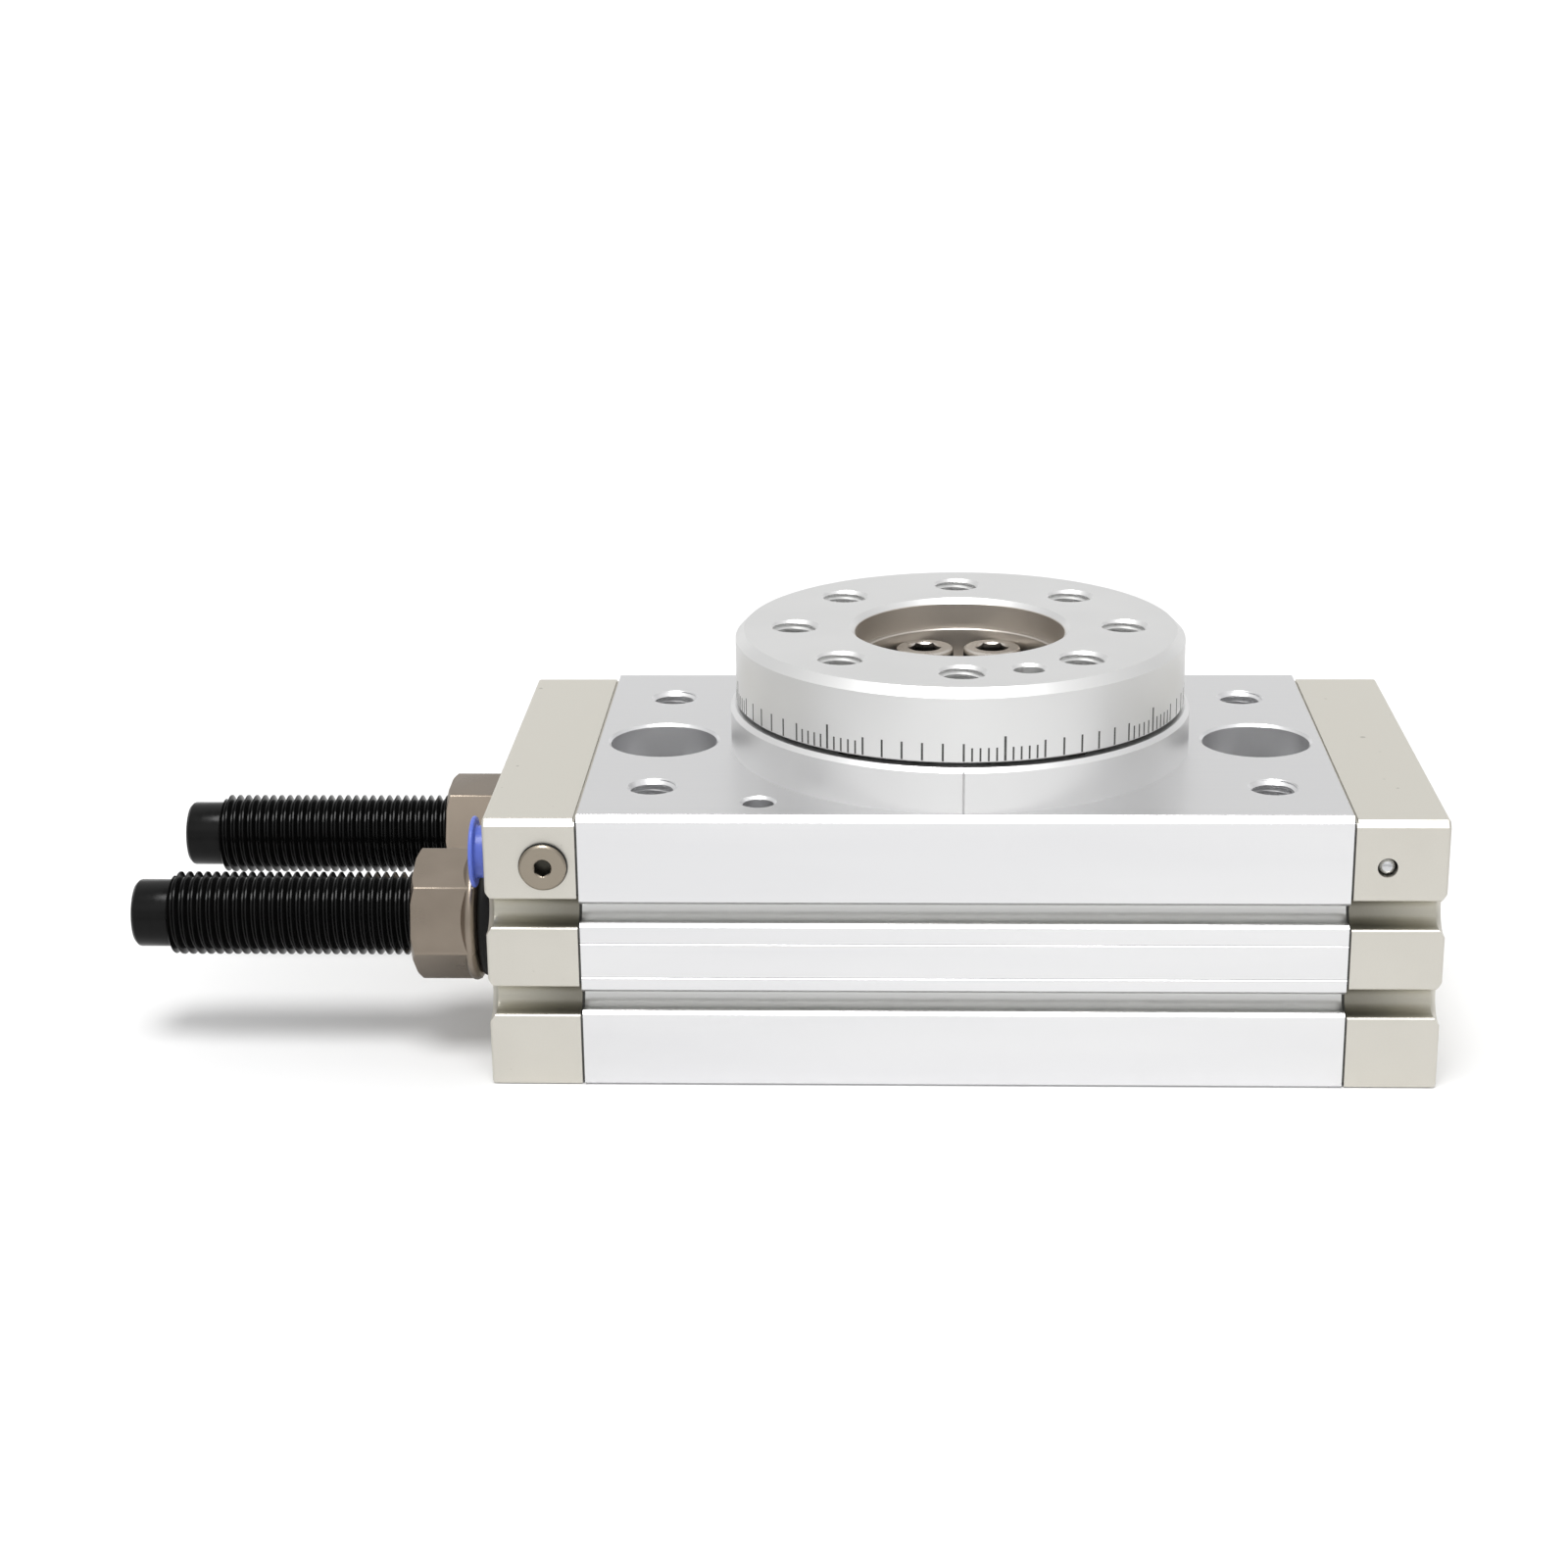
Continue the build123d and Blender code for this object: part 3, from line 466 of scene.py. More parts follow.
def sheet_rubber():
    """Dark rubber sheet with a dusty bloom."""
    material, tree, shader, place = new_finish("sheet_rubber", (0.09, 0.09, 0.085), 0.0, 0.7)
    bloom = grain(tree, place, 900.0, 4.0)
    relief(tree, shader, bloom, 0.01 * mm)
    tint(tree, shader, bloom, (0.06, 0.06, 0.057), (0.12, 0.12, 0.113))
    return material


gasket_rubber = sheet_rubber()
for node in ("port_cover_gasket", "end_cover_gasket"):
    dress(node, gasket_rubber)


# Cover and retainer screws: cold-headed steel, plated, a little uneven in tone and finely scratched.
# They are driven home in the counterbores of the covers and of the retainer.
def plated_steel(name, dark, light):
    """Plated fastener steel with soft clouds in its tone and gloss, and fine scratches."""
    material, tree, shader, place = new_finish(name, light, 1.0, 0.3)
    clouds = grain(tree, place, 160.0, 2.0)
    scratches = grain(tree, place, (5200.0, 2400.0, 5200.0), 2.0)
    relief(tree, shader, scratches, 0.0025 * mm)
    tint(tree, shader, clouds, dark, light)
    tree.links.new(spread(tree, clouds, 0.3, 0.7, 0.24, 0.38), shader.inputs["Roughness"])
    return material


screw_steel = plated_steel("plated_screw_steel", (0.46, 0.44, 0.41), (0.66, 0.64, 0.61))
for node in ("port_cover_screws", "end_cover_screws", "retainer_screws"):
    dress(node, screw_steel)


# Pistons, out of sight in their bores: hardened steel with rack teeth cut in one side.
# Resin wear rings, rubber seals and a magnet for the sensors sit in their grooves and ends.
def turned_steel():
    """Hardened and ground steel with turning marks round X."""
    material, tree, shader, place = new_finish("turned_steel", (0.42, 0.43, 0.45), 1.0, 0.28)
    marks = grain(tree, place, (4200.0, 40.0, 40.0), 2.0)
    relief(tree, shader, marks, 0.002 * mm)
    tint(tree, shader, marks, (0.36, 0.37, 0.39), (0.50, 0.51, 0.53))
    return material


def filled_resin():
    """Pale brown bearing resin, mottled by its filler."""
    material, tree, shader, place = new_finish("filled_resin", (0.55, 0.42, 0.22), 0.0, 0.55)
    filler = grain(tree, place, 1300.0)
    tint(tree, shader, filler, (0.42, 0.31, 0.15), (0.62, 0.49, 0.28))
    relief(tree, shader, filler, 0.004 * mm)
    return material


def moulded_rubber():
    """Black moulded rubber with a soft shine."""
    material, tree, shader, place = new_finish("moulded_rubber", (0.012, 0.012, 0.012), 0.0, 0.42)
    skin = grain(tree, place, 1100.0)
    relief(tree, shader, skin, 0.006 * mm)
    tint(tree, shader, skin, (0.008, 0.008, 0.008), (0.02, 0.02, 0.02))
    return material


def sintered_magnet():
    """Grey pressed powder, a little rough."""
    material, tree, shader, place = new_finish("sintered_magnet", (0.09, 0.09, 0.10), 0.4, 0.55)
    powder = grain(tree, place, 2600.0, 2.0)
    tint(tree, shader, powder, (0.06, 0.06, 0.065), (0.14, 0.14, 0.15))
    relief(tree, shader, powder, 0.006 * mm)
    return material


ends = {"front": -1, "rear": 1}
piston_finishes = {"_rack_piston": turned_steel(), "_wear_rings": filled_resin(),
                   "_piston_seals": moulded_rubber(), "_magnet": sintered_magnet()}
for end in ends:
    for part, finish in piston_finishes.items():
        dress(end + part, finish)


# Table bearings: a small one low in the housing behind its spring ring, and the large one that carries the
# table. Their rings are hardened steel, ground round and pressed in their seats.
def ground_steel(name, dark, light, roughness):
    """Steel ground round Z."""
    material, tree, shader, place = new_finish(name, light, 1.0, roughness)
    marks = grain(tree, place, (60.0, 60.0, 5200.0), 2.0)
    relief(tree, shader, marks, 0.0015 * mm)
    tint(tree, shader, marks, dark, light)
    return material


bearing_steel = ground_steel("bearing_steel", (0.58, 0.59, 0.60), (0.70, 0.71, 0.72), 0.14)
cage_steel = ground_steel("cage_steel", (0.42, 0.40, 0.35), (0.56, 0.54, 0.48), 0.34)
spring_steel = ground_steel("spring_steel", (0.05, 0.05, 0.05), (0.09, 0.09, 0.09), 0.4)
for level in ("lower", "upper"):
    dress(level + "_bearing_inner_ring", bearing_steel)
    dress(level + "_bearing_outer_ring", bearing_steel)
    dress(level + "_bearing_cage", cage_steel)
dress("lower_retaining_ring", spring_steel)


# Pinion shaft: one steel piece with its teeth, journals and the spigot that centres the table.
# It is turned, hobbed and ground, and a hardened dowel in its face holds the table at its angle.
dress("pinion_shaft", ground_steel("shaft_steel", (0.38, 0.39, 0.41), (0.52, 0.53, 0.55), 0.26))
dress("table_dowel", bearing_steel)


# Bearing retainer: a turned aluminium ring, anodised clear and screwed down on the upper bearing, with an
# index line scribed at its front. The table above it wears the same kind of finish, with painted shade,
# darker and warmer, in its register.
register_radius = 17.5 * mm


def turned_aluminium(name, dark, light):
    """Clear anodised turning: fine rings round Z on its faces and its rim, and painted shade, darker and
    warmer, in its bore.
    """
    material, tree, shader, place = new_finish(name, light, 1.0, 0.40)
    axes = split_axes(tree, place)
    flat = tree.nodes.new("ShaderNodeCombineXYZ")
    tree.links.new(axes["X"], flat.inputs["X"])
    tree.links.new(axes["Y"], flat.inputs["Y"])
    radius = tree.nodes.new("ShaderNodeVectorMath")
    radius.operation = "LENGTH"
    tree.links.new(flat.outputs["Vector"], radius.inputs[0])
    tool_path = tree.nodes.new("ShaderNodeCombineXYZ")
    tree.links.new(radius.outputs["Value"], tool_path.inputs["X"])
    tree.links.new(axes["Z"], tool_path.inputs["Z"])
    rings = grain(tree, tool_path.outputs["Vector"], (4200.0, 1.0, 4200.0), 2.0)
    blast = grain(tree, place, 6000.0, 2.0)
    below = relief(tree, shader, rings, 0.0007 * mm)
    relief(tree, shader, blast, 0.0006 * mm, below)
    clouds = grain(tree, place, 45.0, 2.0)
    outside = mixed(tree, spread(tree, clouds, 0.35, 0.65, 0.0, 1.0), dark, light)
    bore_shade_mask = soft_step(tree, radius.outputs["Value"], register_radius + 0.2 * mm, register_radius)
    # Painted shade: inside the register's radius the turning gets a darker, warmer colour.
    tree.links.new(mixed(tree, bore_shade_mask, outside, (0.575, 0.535, 0.49)), shader.inputs["Base Color"])
    tree.links.new(spread(tree, blast, 0.3, 0.7, 0.38, 0.42), shader.inputs["Roughness"])
    return material


dress("bearing_retainer", turned_aluminium("turned_ring_aluminium", (0.80, 0.80, 0.80), (0.83, 0.83, 0.83)))


# Table: a turned aluminium disc, dowelled and screwed to the pinion, with a bored register and eight M8
# threads. It is spun from its outline and drilled; the threads are cut as real helices.
def on_circle(radius, count, first_degrees):
    """Moves to places spread evenly round the table's axis."""
    angles = [math.radians(first_degrees + 360 / count * index) for index in range(count)]
    return [Matrix.Translation((radius * math.cos(angle), radius * math.sin(angle), 0)) for angle in angles]


table_low, table_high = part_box("table")
table_radius = (table_high.x - table_low.x) / 2
screws_low, screws_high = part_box("table_screws")
table_top = table_high.z
rim_bottom = table_top - 11.95 * mm
hub_radius = 20.25 * mm
spigot_hole = 8.02 * mm
register_floor = table_top - 5.0 * mm
recess_radius = 16.5 * mm
recess_floor = screws_high.z - 4.0 * mm
top_chamfer = 1.4 * mm
register_chamfer = 0.9 * mm
small_chamfer = 0.2 * mm
table = turned_piece("table_disc", [
    (spigot_hole, table_low.z), (hub_radius, table_low.z), (hub_radius, rim_bottom),
    (table_radius - small_chamfer, rim_bottom), (table_radius, rim_bottom + small_chamfer),
    (table_radius, table_top - top_chamfer), (table_radius - top_chamfer, table_top),
    (register_radius + register_chamfer, table_top), (register_radius, table_top - register_chamfer),
    (register_radius, register_floor), (recess_radius + small_chamfer, register_floor),
    (recess_radius, register_floor - small_chamfer), (recess_radius, recess_floor),
    (spigot_hole, recess_floor)], steps=256, closed=True)

m8_circle = 27.5 * mm
through_rim = table_top - rim_bottom + 0.5 * mm
table_threads = copies_at(threaded_hole(table_top, through_rim),
                          on_circle(m8_circle, count=8, first_degrees=-90))
combine(table, table_threads, "DIFFERENCE")

pin_radius = 2.5 * mm
pin_floor = table_top - 6 * mm
pin_chamfer = 0.45 * mm
pin_hole = turned_piece("pin_hole", [
    (0, pin_floor), (pin_radius, pin_floor), (pin_radius, table_top - pin_chamfer),
    (pin_radius + pin_chamfer, table_top), (pin_radius + pin_chamfer, table_top + overshoot),
    (0, table_top + overshoot)], steps=64)
combine(table, copies_at(pin_hole, on_circle(m8_circle, count=1, first_degrees=-67.5)), "DIFFERENCE")
table_aluminium = turned_aluminium("turned_table_aluminium", (0.81, 0.81, 0.805), (0.84, 0.84, 0.835))
finish_piece(table, "table_disc", table_aluminium, "table_assembly", ["table"])


# Degree scale: fine lines marked dark on the table's rim, a long one every 45 degrees. Four short ones stand
# on each side of it, two degrees apart, and six of middle length, five degrees apart, fill the room between.
def marked_lines():
    """Dark marking, slightly uneven."""
    material, tree, shader, place = new_finish("scale_marking", (0.05, 0.05, 0.05), 0.0, 0.6)
    tone = grain(tree, place, 1800.0, 2.0)
    tint(tree, shader, tone, (0.03, 0.03, 0.03), (0.11, 0.11, 0.105))
    return material


line_foot = 0.25 * mm
line_proud = 0.012 * mm
line_thickness = 0.05 * mm


def scale_line(width, reach):
    """One line of the scale, at the front of the rim, that ends at its reach above the rim's bottom."""
    bpy.ops.object.select_all(action="DESELECT")
    bpy.ops.mesh.primitive_plane_add(size=1.0, rotation=(math.pi / 2, 0, 0))
    line = bpy.context.object
    height = reach - line_foot
    line.scale = (width, height, 1)
    line.location = (0, -table_radius - line_proud, rim_bottom + line_foot + height / 2)
    bpy.ops.object.transform_apply(location=True, rotation=True, scale=True)
    bpy.ops.object.mode_set(mode="EDIT")
    bpy.ops.mesh.select_all(action="SELECT")
    bpy.ops.mesh.extrude_region_move(TRANSFORM_OT_translate={"value": (0, line_thickness, 0)})
    bpy.ops.mesh.select_all(action="SELECT")
    bpy.ops.mesh.normals_make_consistent(inside=False)
    bpy.ops.object.mode_set(mode="OBJECT")
    return line


scale_start = 10.0
long_lines = 8


def scale_lines(width, reach, steps):
    """Like lines at those steps, in degrees, from each of the long ones."""
    angles = [scale_start + 360 / long_lines * index + step for index in range(long_lines) for step in steps]
    turns = [Matrix.Rotation(math.radians(angle), 4, "Z") for angle in angles]
    return copies_at(scale_line(width, reach), turns)


scale = join_pieces([scale_lines(0.4 * mm, 4.25 * mm, [0]),
                     scale_lines(0.34 * mm, 3.15 * mm, range(10, 40, 5)),
                     scale_lines(0.3 * mm, 2.45 * mm, [-8, -6, -4, -2, 2, 4, 6, 8])])
finish_piece(scale, "table_scale", marked_lines(), "table_assembly")


# Table screws: six low-head M6 screws in the table's recess, nickel plated, their hexagon sockets
# painted dark as shade.
# Each is turned with a bevelled rim, and its socket is broached.
def paint_socket_shade(material, axis, start, full, dark):
    """Paint shade into a finish: dark from start to full along an axis of the object, down into a socket."""
    tree = material.node_tree
    colour = tree.nodes["Principled BSDF"].inputs["Base Color"]
    plain = colour.links[0].from_socket
    along = split_axes(tree, tree.nodes.new("ShaderNodeTexCoord").outputs["Object"])[axis]
    inwards = soft_step(tree, calculate(tree, "ABSOLUTE", along), start, full)
    tree.links.new(mixed(tree, inwards, plain, dark), colour)


def hexagon_bar(across_flats, low, high, degrees):
    """Hexagon prism along Z, with a corner at the given angle from X."""
    bpy.ops.object.select_all(action="DESELECT")
    bpy.ops.mesh.primitive_cylinder_add(vertices=6, radius=across_flats / math.sqrt(3), depth=high - low,
                                        location=(0, 0, (low + high) / 2),
                                        rotation=(0, 0, math.radians(degrees - 30)))
    bar = bpy.context.object
    bpy.ops.object.transform_apply(location=True, rotation=True, scale=True)
    return bar


def socket_head(name, outline, across_flats, socket_top, socket_depth, degrees):
    """Turned head or screw with a broached hexagon socket that has a small countersink."""
    head = turned_piece(name, outline, steps=64)
    broach = hexagon_bar(across_flats, socket_top - socket_depth, socket_top + overshoot, degrees)
    combine(head, broach, "DIFFERENCE")
    corner = across_flats / math.sqrt(3)
    sink = turned_piece("socket_sink", [
        (0, socket_top - 0.6 * mm), (corner - 0.3 * mm, socket_top - 0.3 * mm),
        (corner + 0.1 * mm, socket_top + 0.1 * mm), (0, socket_top + 0.1 * mm)], steps=48)
    combine(head, sink, "DIFFERENCE")
    return head


head_top = screws_high.z
head_radius = 4.9 * mm
head_bevel = 0.5 * mm
shank_radius = 2.9 * mm
shank_chamfer = 0.4 * mm
screw_outline = [
    (0, screws_low.z), (shank_radius - shank_chamfer, screws_low.z),
    (shank_radius, screws_low.z + shank_chamfer), (shank_radius, recess_floor), (head_radius, recess_floor),
    (head_radius, head_top - head_bevel), (head_radius - 0.12 * mm, head_top - 0.22 * mm),
    (head_radius - head_bevel, head_top), (0, head_top)]
screw_socket = 5.0 * mm
screw_socket_depth = 2.6 * mm
screw_circle = 11.5 * mm
table_screw = socket_head("table_screw", screw_outline, screw_socket, head_top, screw_socket_depth, degrees=0)
table_screws = copies_at(table_screw, on_circle(screw_circle, count=6, first_degrees=0))
nickel = plated_steel("nickel_screw_steel", (0.60, 0.56, 0.51), (0.68, 0.64, 0.585))
# Painted shade: the sockets darken below the head's face.
paint_socket_shade(nickel, "Z", head_top - 0.45 * mm, head_top - 1.1 * mm, (0.10, 0.095, 0.085))
finish_piece(table_screws, "recess_screws", nickel, "table_assembly", ["table_screws"])


# Shock absorbers: steel tubes with a rolled M14 thread over their whole length and a plain tail, blackened in
# oil. Each is turned as a blank with a round-edged tail and a run-out cone, and trimmed by its thread.
def oiled_black():
    """Black oxide with a film of oil, a little streaky."""
    material, tree, shader, place = new_finish("oiled_black_steel", (0.003, 0.003, 0.003), 0.0, 0.22)
    streaks = grain(tree, place, (900.0, 300.0, 300.0), 4.0)
    relief(tree, shader, streaks, 0.002 * mm)
    tint(tree, shader, streaks, (0.0015, 0.0015, 0.0015), (0.005, 0.005, 0.005))
    tree.links.new(spread(tree, streaks, 0.3, 0.7, 0.14, 0.24), shader.inputs["Roughness"])
    shader.inputs["Specular IOR Level"].default_value = 0.17
    return material


def along_x(low, high):
    """Place for a piece turned about Z in a box: it lies along X, its low end outwards, to the left."""
    start = Matrix.Translation((low.x, (low.y + high.y) / 2, (low.z + high.z) / 2))
    return start @ Matrix.Rotation(math.pi / 2, 4, "Y")


tube_black = oiled_black()
rod_chrome = ground_steel("rod_chrome", (0.66, 0.66, 0.68), (0.80, 0.80, 0.82), 0.1)
m14_pitch = 1.5 * mm
tail_radius = 5.6 * mm
tail = 6.0 * mm
tail_round = 0.9 * mm
run_out = 0.9 * mm
tube_chamfer = 0.8 * mm
for end in ends:
    tube_low, tube_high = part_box(end + "_absorber_body")
    length = tube_high.x - tube_low.x
    radius = (tube_high.z - tube_low.z) / 2
    over_thread = radius + 0.05 * mm
    tube = turned_piece("absorber_blank", [
        (0, 0), (tail_radius - tail_round, 0), (tail_radius - 0.55 * mm, 0.1 * mm),
        (tail_radius - 0.1 * mm, 0.55 * mm), (tail_radius, tail_round), (tail_radius, tail),
        (radius - 0.25 * mm, tail + 0.5 * mm), (over_thread, tail + run_out),
        (over_thread, length - tube_chamfer), (over_thread - tube_chamfer, length), (0, length)], steps=96)
    thread = screw_thread("absorber_thread", radius, m14_pitch, -overshoot, length + overshoot, steps=56)
    combine(tube, thread, "INTERSECT")
    place_piece(tube, along_x(tube_low, tube_high))
    finish_piece(tube, end + "_absorber_tube", tube_black, "body", [end + "_absorber_body"])
    dress(end + "_absorber_rod", rod_chrome)


# Lock nuts: flanged hexagons in satin nickel, tightened on the absorbers against a black rubber sealing ring.
# Each is a hexagon bar, bevelled and chamfered, joined to a turned flange with a round rim, and bored.
def arc(centre, radius, first, last, count):
    """Points of an arc in an outline, with its angles in degrees."""
    angles = [math.radians(first + (last - first) * index / (count - 1)) for index in range(count)]
    return [(centre[0] + radius * math.cos(angle), centre[1] + radius * math.sin(angle)) for angle in angles]


nut_bore = 7.0 * mm
nut_mouth = 8.1 * mm
nut_mouth_depth = 0.6 * mm
nut_across_flats = 19.0 * mm
hexagon_length = 8.4 * mm
nut_chamfer = 1.3 * mm
nut_bevel = 0.22 * mm
flange_radius = 11.0 * mm
flange_root = 9.2 * mm
flange_rim = 0.95 * mm


def lock_nut(name, length, degrees):
    """Nut along Z, its chamfered end at the bottom and its flange at the top."""
    corner = nut_across_flats / math.sqrt(3)
    nut = hexagon_bar(nut_across_flats, 0, length - 0.5 * mm, degrees)
    nut.name = name
    bpy.ops.object.mode_set(mode="EDIT")
    bpy.ops.mesh.select_all(action="SELECT")
    bpy.ops.mesh.bevel(offset=nut_bevel, segments=3, affect="EDGES")
    bpy.ops.object.mode_set(mode="OBJECT")
    cone = turned_piece("nut_cone", [
        (0, -overshoot), (corner - nut_chamfer - 1.7 * mm, -overshoot),
        (corner + 0.3 * mm, nut_chamfer / math.sqrt(3) + 0.18 * mm), (corner + 0.3 * mm, length),
        (0, length)], steps=128)
    combine(nut, cone, "INTERSECT")
    rim_centre = (flange_radius - flange_rim, length - flange_rim - 0.25 * mm)
    flange = turned_piece("nut_flange", [
        (0, hexagon_length - 0.4 * mm), (flange_root, hexagon_length - 0.3 * mm),
        *arc(rim_centre, flange_rim, -70, 75, 9), (flange_radius - 1.2 * mm, length), (0, length)], steps=128)
    combine(nut, flange, "UNION")
    bore = turned_piece("nut_bore", [
        (0, -overshoot), (nut_mouth, -overshoot), (nut_bore, nut_mouth_depth),
        (nut_bore, length + overshoot), (0, length + overshoot)], steps=96)
    combine(nut, bore, "DIFFERENCE")
    return nut


def sealing_rubber():
    """Black rubber with a matt, slightly grained skin."""
    material, tree, shader, place = new_finish("seal_black", (0.006, 0.006, 0.006), 0.0, 0.5)
    relief(tree, shader, grain(tree, place, 1400.0), 0.005 * mm)
    shader.inputs["Specular IOR Level"].default_value = 0.2
    return material


nut_nickel = plated_steel("satin_nickel", (0.282, 0.236, 0.19), (0.34, 0.288, 0.236))
seal_black = sealing_rubber()
ring_edge = 0.7 * mm
for end, corner_angle in (("front", 47.0), ("rear", 32.5)):
    nut_low, nut_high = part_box(end + "_absorber_nut")
    nut = lock_nut("lock_nut", nut_high.x - nut_low.x, corner_angle)
    place_piece(nut, along_x(nut_low, nut_high))
    finish_piece(nut, end + "_lock_nut", nut_nickel, "body", [end + "_absorber_nut"])
    ring_low, ring_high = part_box(end + "_absorber_seal")
    ring_radius = (ring_high.z - ring_low.z) / 2
    thickness = ring_high.x - ring_low.x
    ring = turned_piece("seal", [
        (nut_bore, 0), *arc((ring_radius - ring_edge, ring_edge), ring_edge, -90, 0, 6),
        *arc((ring_radius - ring_edge, thickness - ring_edge), ring_edge, 0, 90, 6),
        (nut_bore, thickness)], steps=96, closed=True)
    place_piece(ring, along_x(ring_low, ring_high))
    finish_piece(ring, end + "_sealing_ring", seal_black, "body", [end + "_absorber_seal"])


# Side plugs and balls: a nickel plated plug with a hexagon socket, painted dark inside as shade, closes the
# hole in each side of the port cover, screwed down on a thin black seal that stands a little past its head,
# so that its black rim gives painted shade round the head. A steel ball is pressed in each drilled channel
# of the end cover.
def facing_side(low, high, side):
    """Place on the cover's side for a piece turned about Z, its top to the front (-1) or the rear (1)."""
    start = Matrix.Translation(((low.x + high.x) / 2, side * cover_side, (low.z + high.z) / 2))
    return start @ Matrix.Rotation(-side * math.pi / 2, 4, "X")


front_plug_low, front_plug_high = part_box("front_side_plug")
plug_radius = (front_plug_high.z - front_plug_low.z) / 2
plug_head = 1.1 * mm
plug_seat = 0.5 * mm
plug_shank = 2.4 * mm
plug_socket = 2.6 * mm
plug_socket_depth = 2.0 * mm
plug_face = cover_side + plug_head
plug_nickel = plated_steel("plug_nickel", (0.315, 0.275, 0.22), (0.36, 0.315, 0.255))
# Painted shade: the socket darkens behind the plug's face.
paint_socket_shade(plug_nickel, "Y", plug_face - 0.3 * mm, plug_face - 0.8 * mm, (0.05, 0.048, 0.04))
seal_hole = 2.6 * mm
seal_radius = plug_radius + 0.12 * mm
seal_foot = 0.02 * mm
seal_top = 0.48 * mm
for end, side in ends.items():
    plug_low, plug_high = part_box(end + "_side_plug")
    thread_end = plug_low.y if side > 0 else plug_high.y
    reach = abs(thread_end) - cover_side
    plug = socket_head("plug", [
        (0, reach), (plug_shank, reach), (plug_shank, plug_seat), (plug_radius, plug_seat),
        (plug_radius, 0.75 * mm), (plug_radius - 0.1 * mm, 0.93 * mm), (plug_radius - 0.35 * mm, plug_head),
        (0, plug_head)], plug_socket, plug_head, plug_socket_depth, degrees=90)
    # A thin black seal under the head, made a little wider than the head so that its black rim also gives
    # painted shade round it.
    plug_seal_and_shade = turned_piece("plug_seal_and_shade", [
        (seal_hole, seal_foot), (seal_radius, seal_foot), (seal_radius, 0.4 * mm), (plug_radius, seal_top),
        (seal_hole, seal_top)], steps=64, closed=True)
    seat = facing_side(plug_low, plug_high, side)
    place_piece(plug, seat)
    place_piece(plug_seal_and_shade, seat)
    finish_piece(plug, end + "_port_plug", plug_nickel, "body", [end + "_side_plug"])
    finish_piece(plug_seal_and_shade, end + "_plug_seal_and_shade", seal_black, "body")
    dress(end + "_channel_ball", bearing_steel)


# Dust caps: soft blue plastic, pushed in the air ports by hand; the front one isn't pushed quite home.
# Each is a thin-walled cup with a round-rimmed flange.
def blue_plastic():
    """Soft blue moulding that lets a little light in."""
    material, tree, shader, place = new_finish("blue_plastic", (0.10, 0.16, 0.72), 0.0, 0.35)
    flow = grain(tree, place, 300.0)
    tint(tree, shader, flow, (0.08, 0.13, 0.54), (0.12, 0.18, 0.64))
    relief(tree, shader, flow, 0.01 * mm)
    shader.inputs["Subsurface Weight"].default_value = 0.2
    shader.inputs["Subsurface Radius"].default_value = (0.5, 0.6, 1.0)
    shader.inputs["Subsurface Scale"].default_value = 1.0 * mm
    return material


cap_blue = blue_plastic()
cap_outer_face = 0.55 * mm
cap_inner_face = 1.3 * mm
half_rim = (cap_inner_face - cap_outer_face) / 2
rim_radius = 5.75 * mm
stem_radius = 4.2 * mm
stem_chamfer = 0.5 * mm
stem_fillet = 0.2 * mm
wall = 0.9 * mm
hollow = stem_radius - wall
mouth_chamfer = 0.3 * mm
for end in ends:
    cap_low, cap_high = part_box(end + "_port_cap")
    length = cap_high.x - cap_low.x
    cap = turned_piece("cap", [
        (0, length), (stem_radius - stem_chamfer, length), (stem_radius, length - stem_chamfer),
        (stem_radius, cap_inner_face + stem_fillet), (stem_radius + stem_fillet, cap_inner_face),
        *arc((rim_radius - half_rim, cap_outer_face + half_rim), half_rim, 90, -90, 9),
        (hollow + mouth_chamfer, cap_outer_face), (hollow, cap_outer_face + mouth_chamfer),
        (hollow, length - wall), (0, length - wall)], steps=96)
    place_piece(cap, along_x(cap_low, cap_high))
    finish_piece(cap, end + "_dust_cap", cap_blue, end + "_cap", [end + "_port_cap"])


# Studio: a pale paper floor without end, a soft white room that darkens to both sides and straight above, and
# one large soft lamp over the object. The camera stands at the photograph's angle.
def studio_floor():
    """White paper that takes the soft shadows; what the metal sees of it darkens to both sides."""
    white_paper = (0.81, 0.81, 0.81)
    mirrored_paper = (0.755, 0.755, 0.755)
    glow = 0.04
    material, tree, shader, place = new_finish("studio_floor", (0.80, 0.80, 0.80), 0.0, 0.9)
    shader.inputs["Specular IOR Level"].default_value = 0.0
    seen = tree.nodes.new("ShaderNodeLightPath").outputs
    away = calculate(tree, "ABSOLUTE", calculate(tree, "SUBTRACT", split_axes(tree, place)["X"], 30 * mm))
    side = spread(tree, away, 100 * mm, 400 * mm, 1.0, 0.50)
    mirrored = calculate(tree, "MAXIMUM", seen["Is Glossy Ray"], seen["Is Transmission Ray"])
    shaded_paper = mixed(tree, side, (0.0, 0.0, 0.0), mirrored_paper)
    tree.links.new(mixed(tree, mirrored, white_paper, shaded_paper), shader.inputs["Base Color"])
    shader.inputs["Emission Color"].default_value = (1.0, 1.0, 1.0, 1.0)
    lifted = calculate(tree, "MULTIPLY", seen["Is Camera Ray"], glow)
    tree.links.new(lifted, shader.inputs["Emission Strength"])
    return material


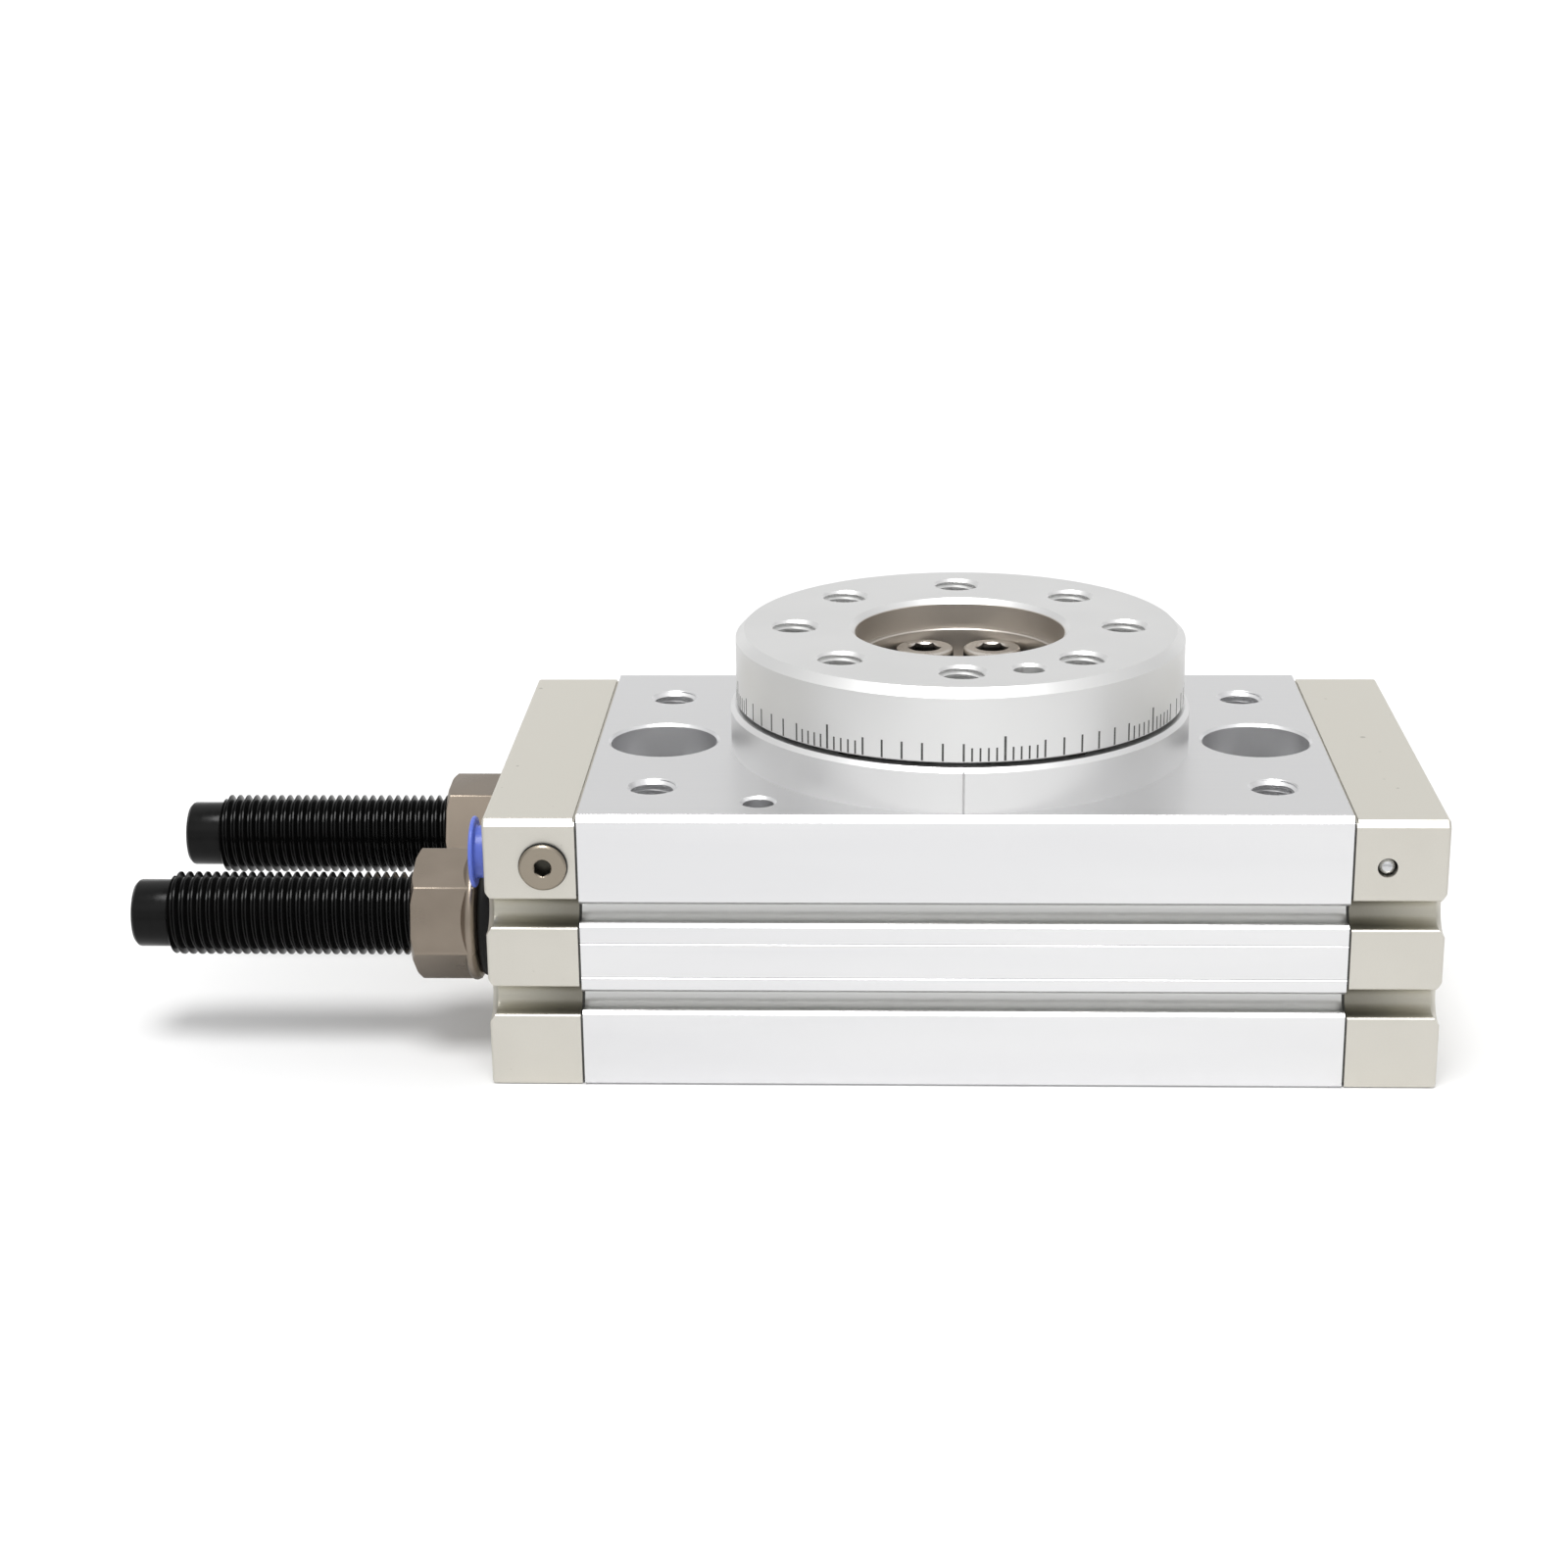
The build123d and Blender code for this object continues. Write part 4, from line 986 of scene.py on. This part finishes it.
paper_size = 16.0
bpy.ops.object.select_all(action="DESELECT")
bpy.ops.mesh.primitive_plane_add(size=paper_size, location=(0, 0, cad_box[0][2]))
floor = bpy.context.object
floor.name = "studio_floor"
floor.data.materials.append(studio_floor())

world = bpy.data.worlds.new("studio_room")
bpy.context.scene.world = world
world.use_nodes = True
room = world.node_tree
background = room.nodes["Background"]
direction = split_axes(room, room.nodes.new("ShaderNodeTexCoord").outputs["Generated"])
side_light = spread(room, calculate(room, "ABSOLUTE", direction["X"]), 0.86, 1.0, 1.0, 0.50)
low_light = spread(room, direction["Z"], 0.20, 0.31, 1.0, 0.66)
high_light = spread(room, direction["Z"], 0.45, 0.85, 0.0, 0.22)
dark_above = spread(room, direction["Z"], 0.86, 0.97, 0.0, -0.38)
in_front = soft_step(room, direction["Y"], -0.35, -0.75)
window = calculate(room, "MULTIPLY", in_front, spread(room, direction["Z"], 0.15, 0.50, -0.26, 0.37))
light = low_light
for share in (high_light, window, dark_above):
    light = calculate(room, "ADD", light, share)
light = calculate(room, "MULTIPLY", side_light, light)
seen_by_camera = room.nodes.new("ShaderNodeLightPath").outputs["Is Camera Ray"]
background.inputs["Color"].default_value = (1.0, 1.0, 1.0, 1.0)
room.links.new(calculate(room, "MAXIMUM", light, seen_by_camera), background.inputs["Strength"])

lamp_direction = Vector((0.06, 0.26, -0.96))
bpy.ops.object.light_add(type="SUN", location=(0, -0.3, 1.0))
top_lamp = bpy.context.object
top_lamp.name = "top_lamp"
top_lamp.data.energy = 1.9
top_lamp.data.angle = math.radians(28)
top_lamp.rotation_euler = lamp_direction.to_track_quat("-Z", "Y").to_euler()

camera_place = Vector((-9.9, -476.7, 197.0)) * mm
turn = math.radians(2.38)
tilt = math.radians(18.42)
roll = math.radians(0.69)
bpy.ops.object.camera_add(location=camera_place)
camera = bpy.context.object
camera.name = "camera"
camera.matrix_world = (Matrix.Translation(camera_place) @ Matrix.Rotation(turn, 4, "Z")
                       @ Matrix.Rotation(math.pi / 2 - tilt, 4, "X") @ Matrix.Rotation(-roll, 4, "Z"))
camera.data.sensor_width = 36.0
camera.data.lens = 67.7
bpy.context.scene.camera = camera
bpy.context.scene.view_settings.view_transform = "Standard"
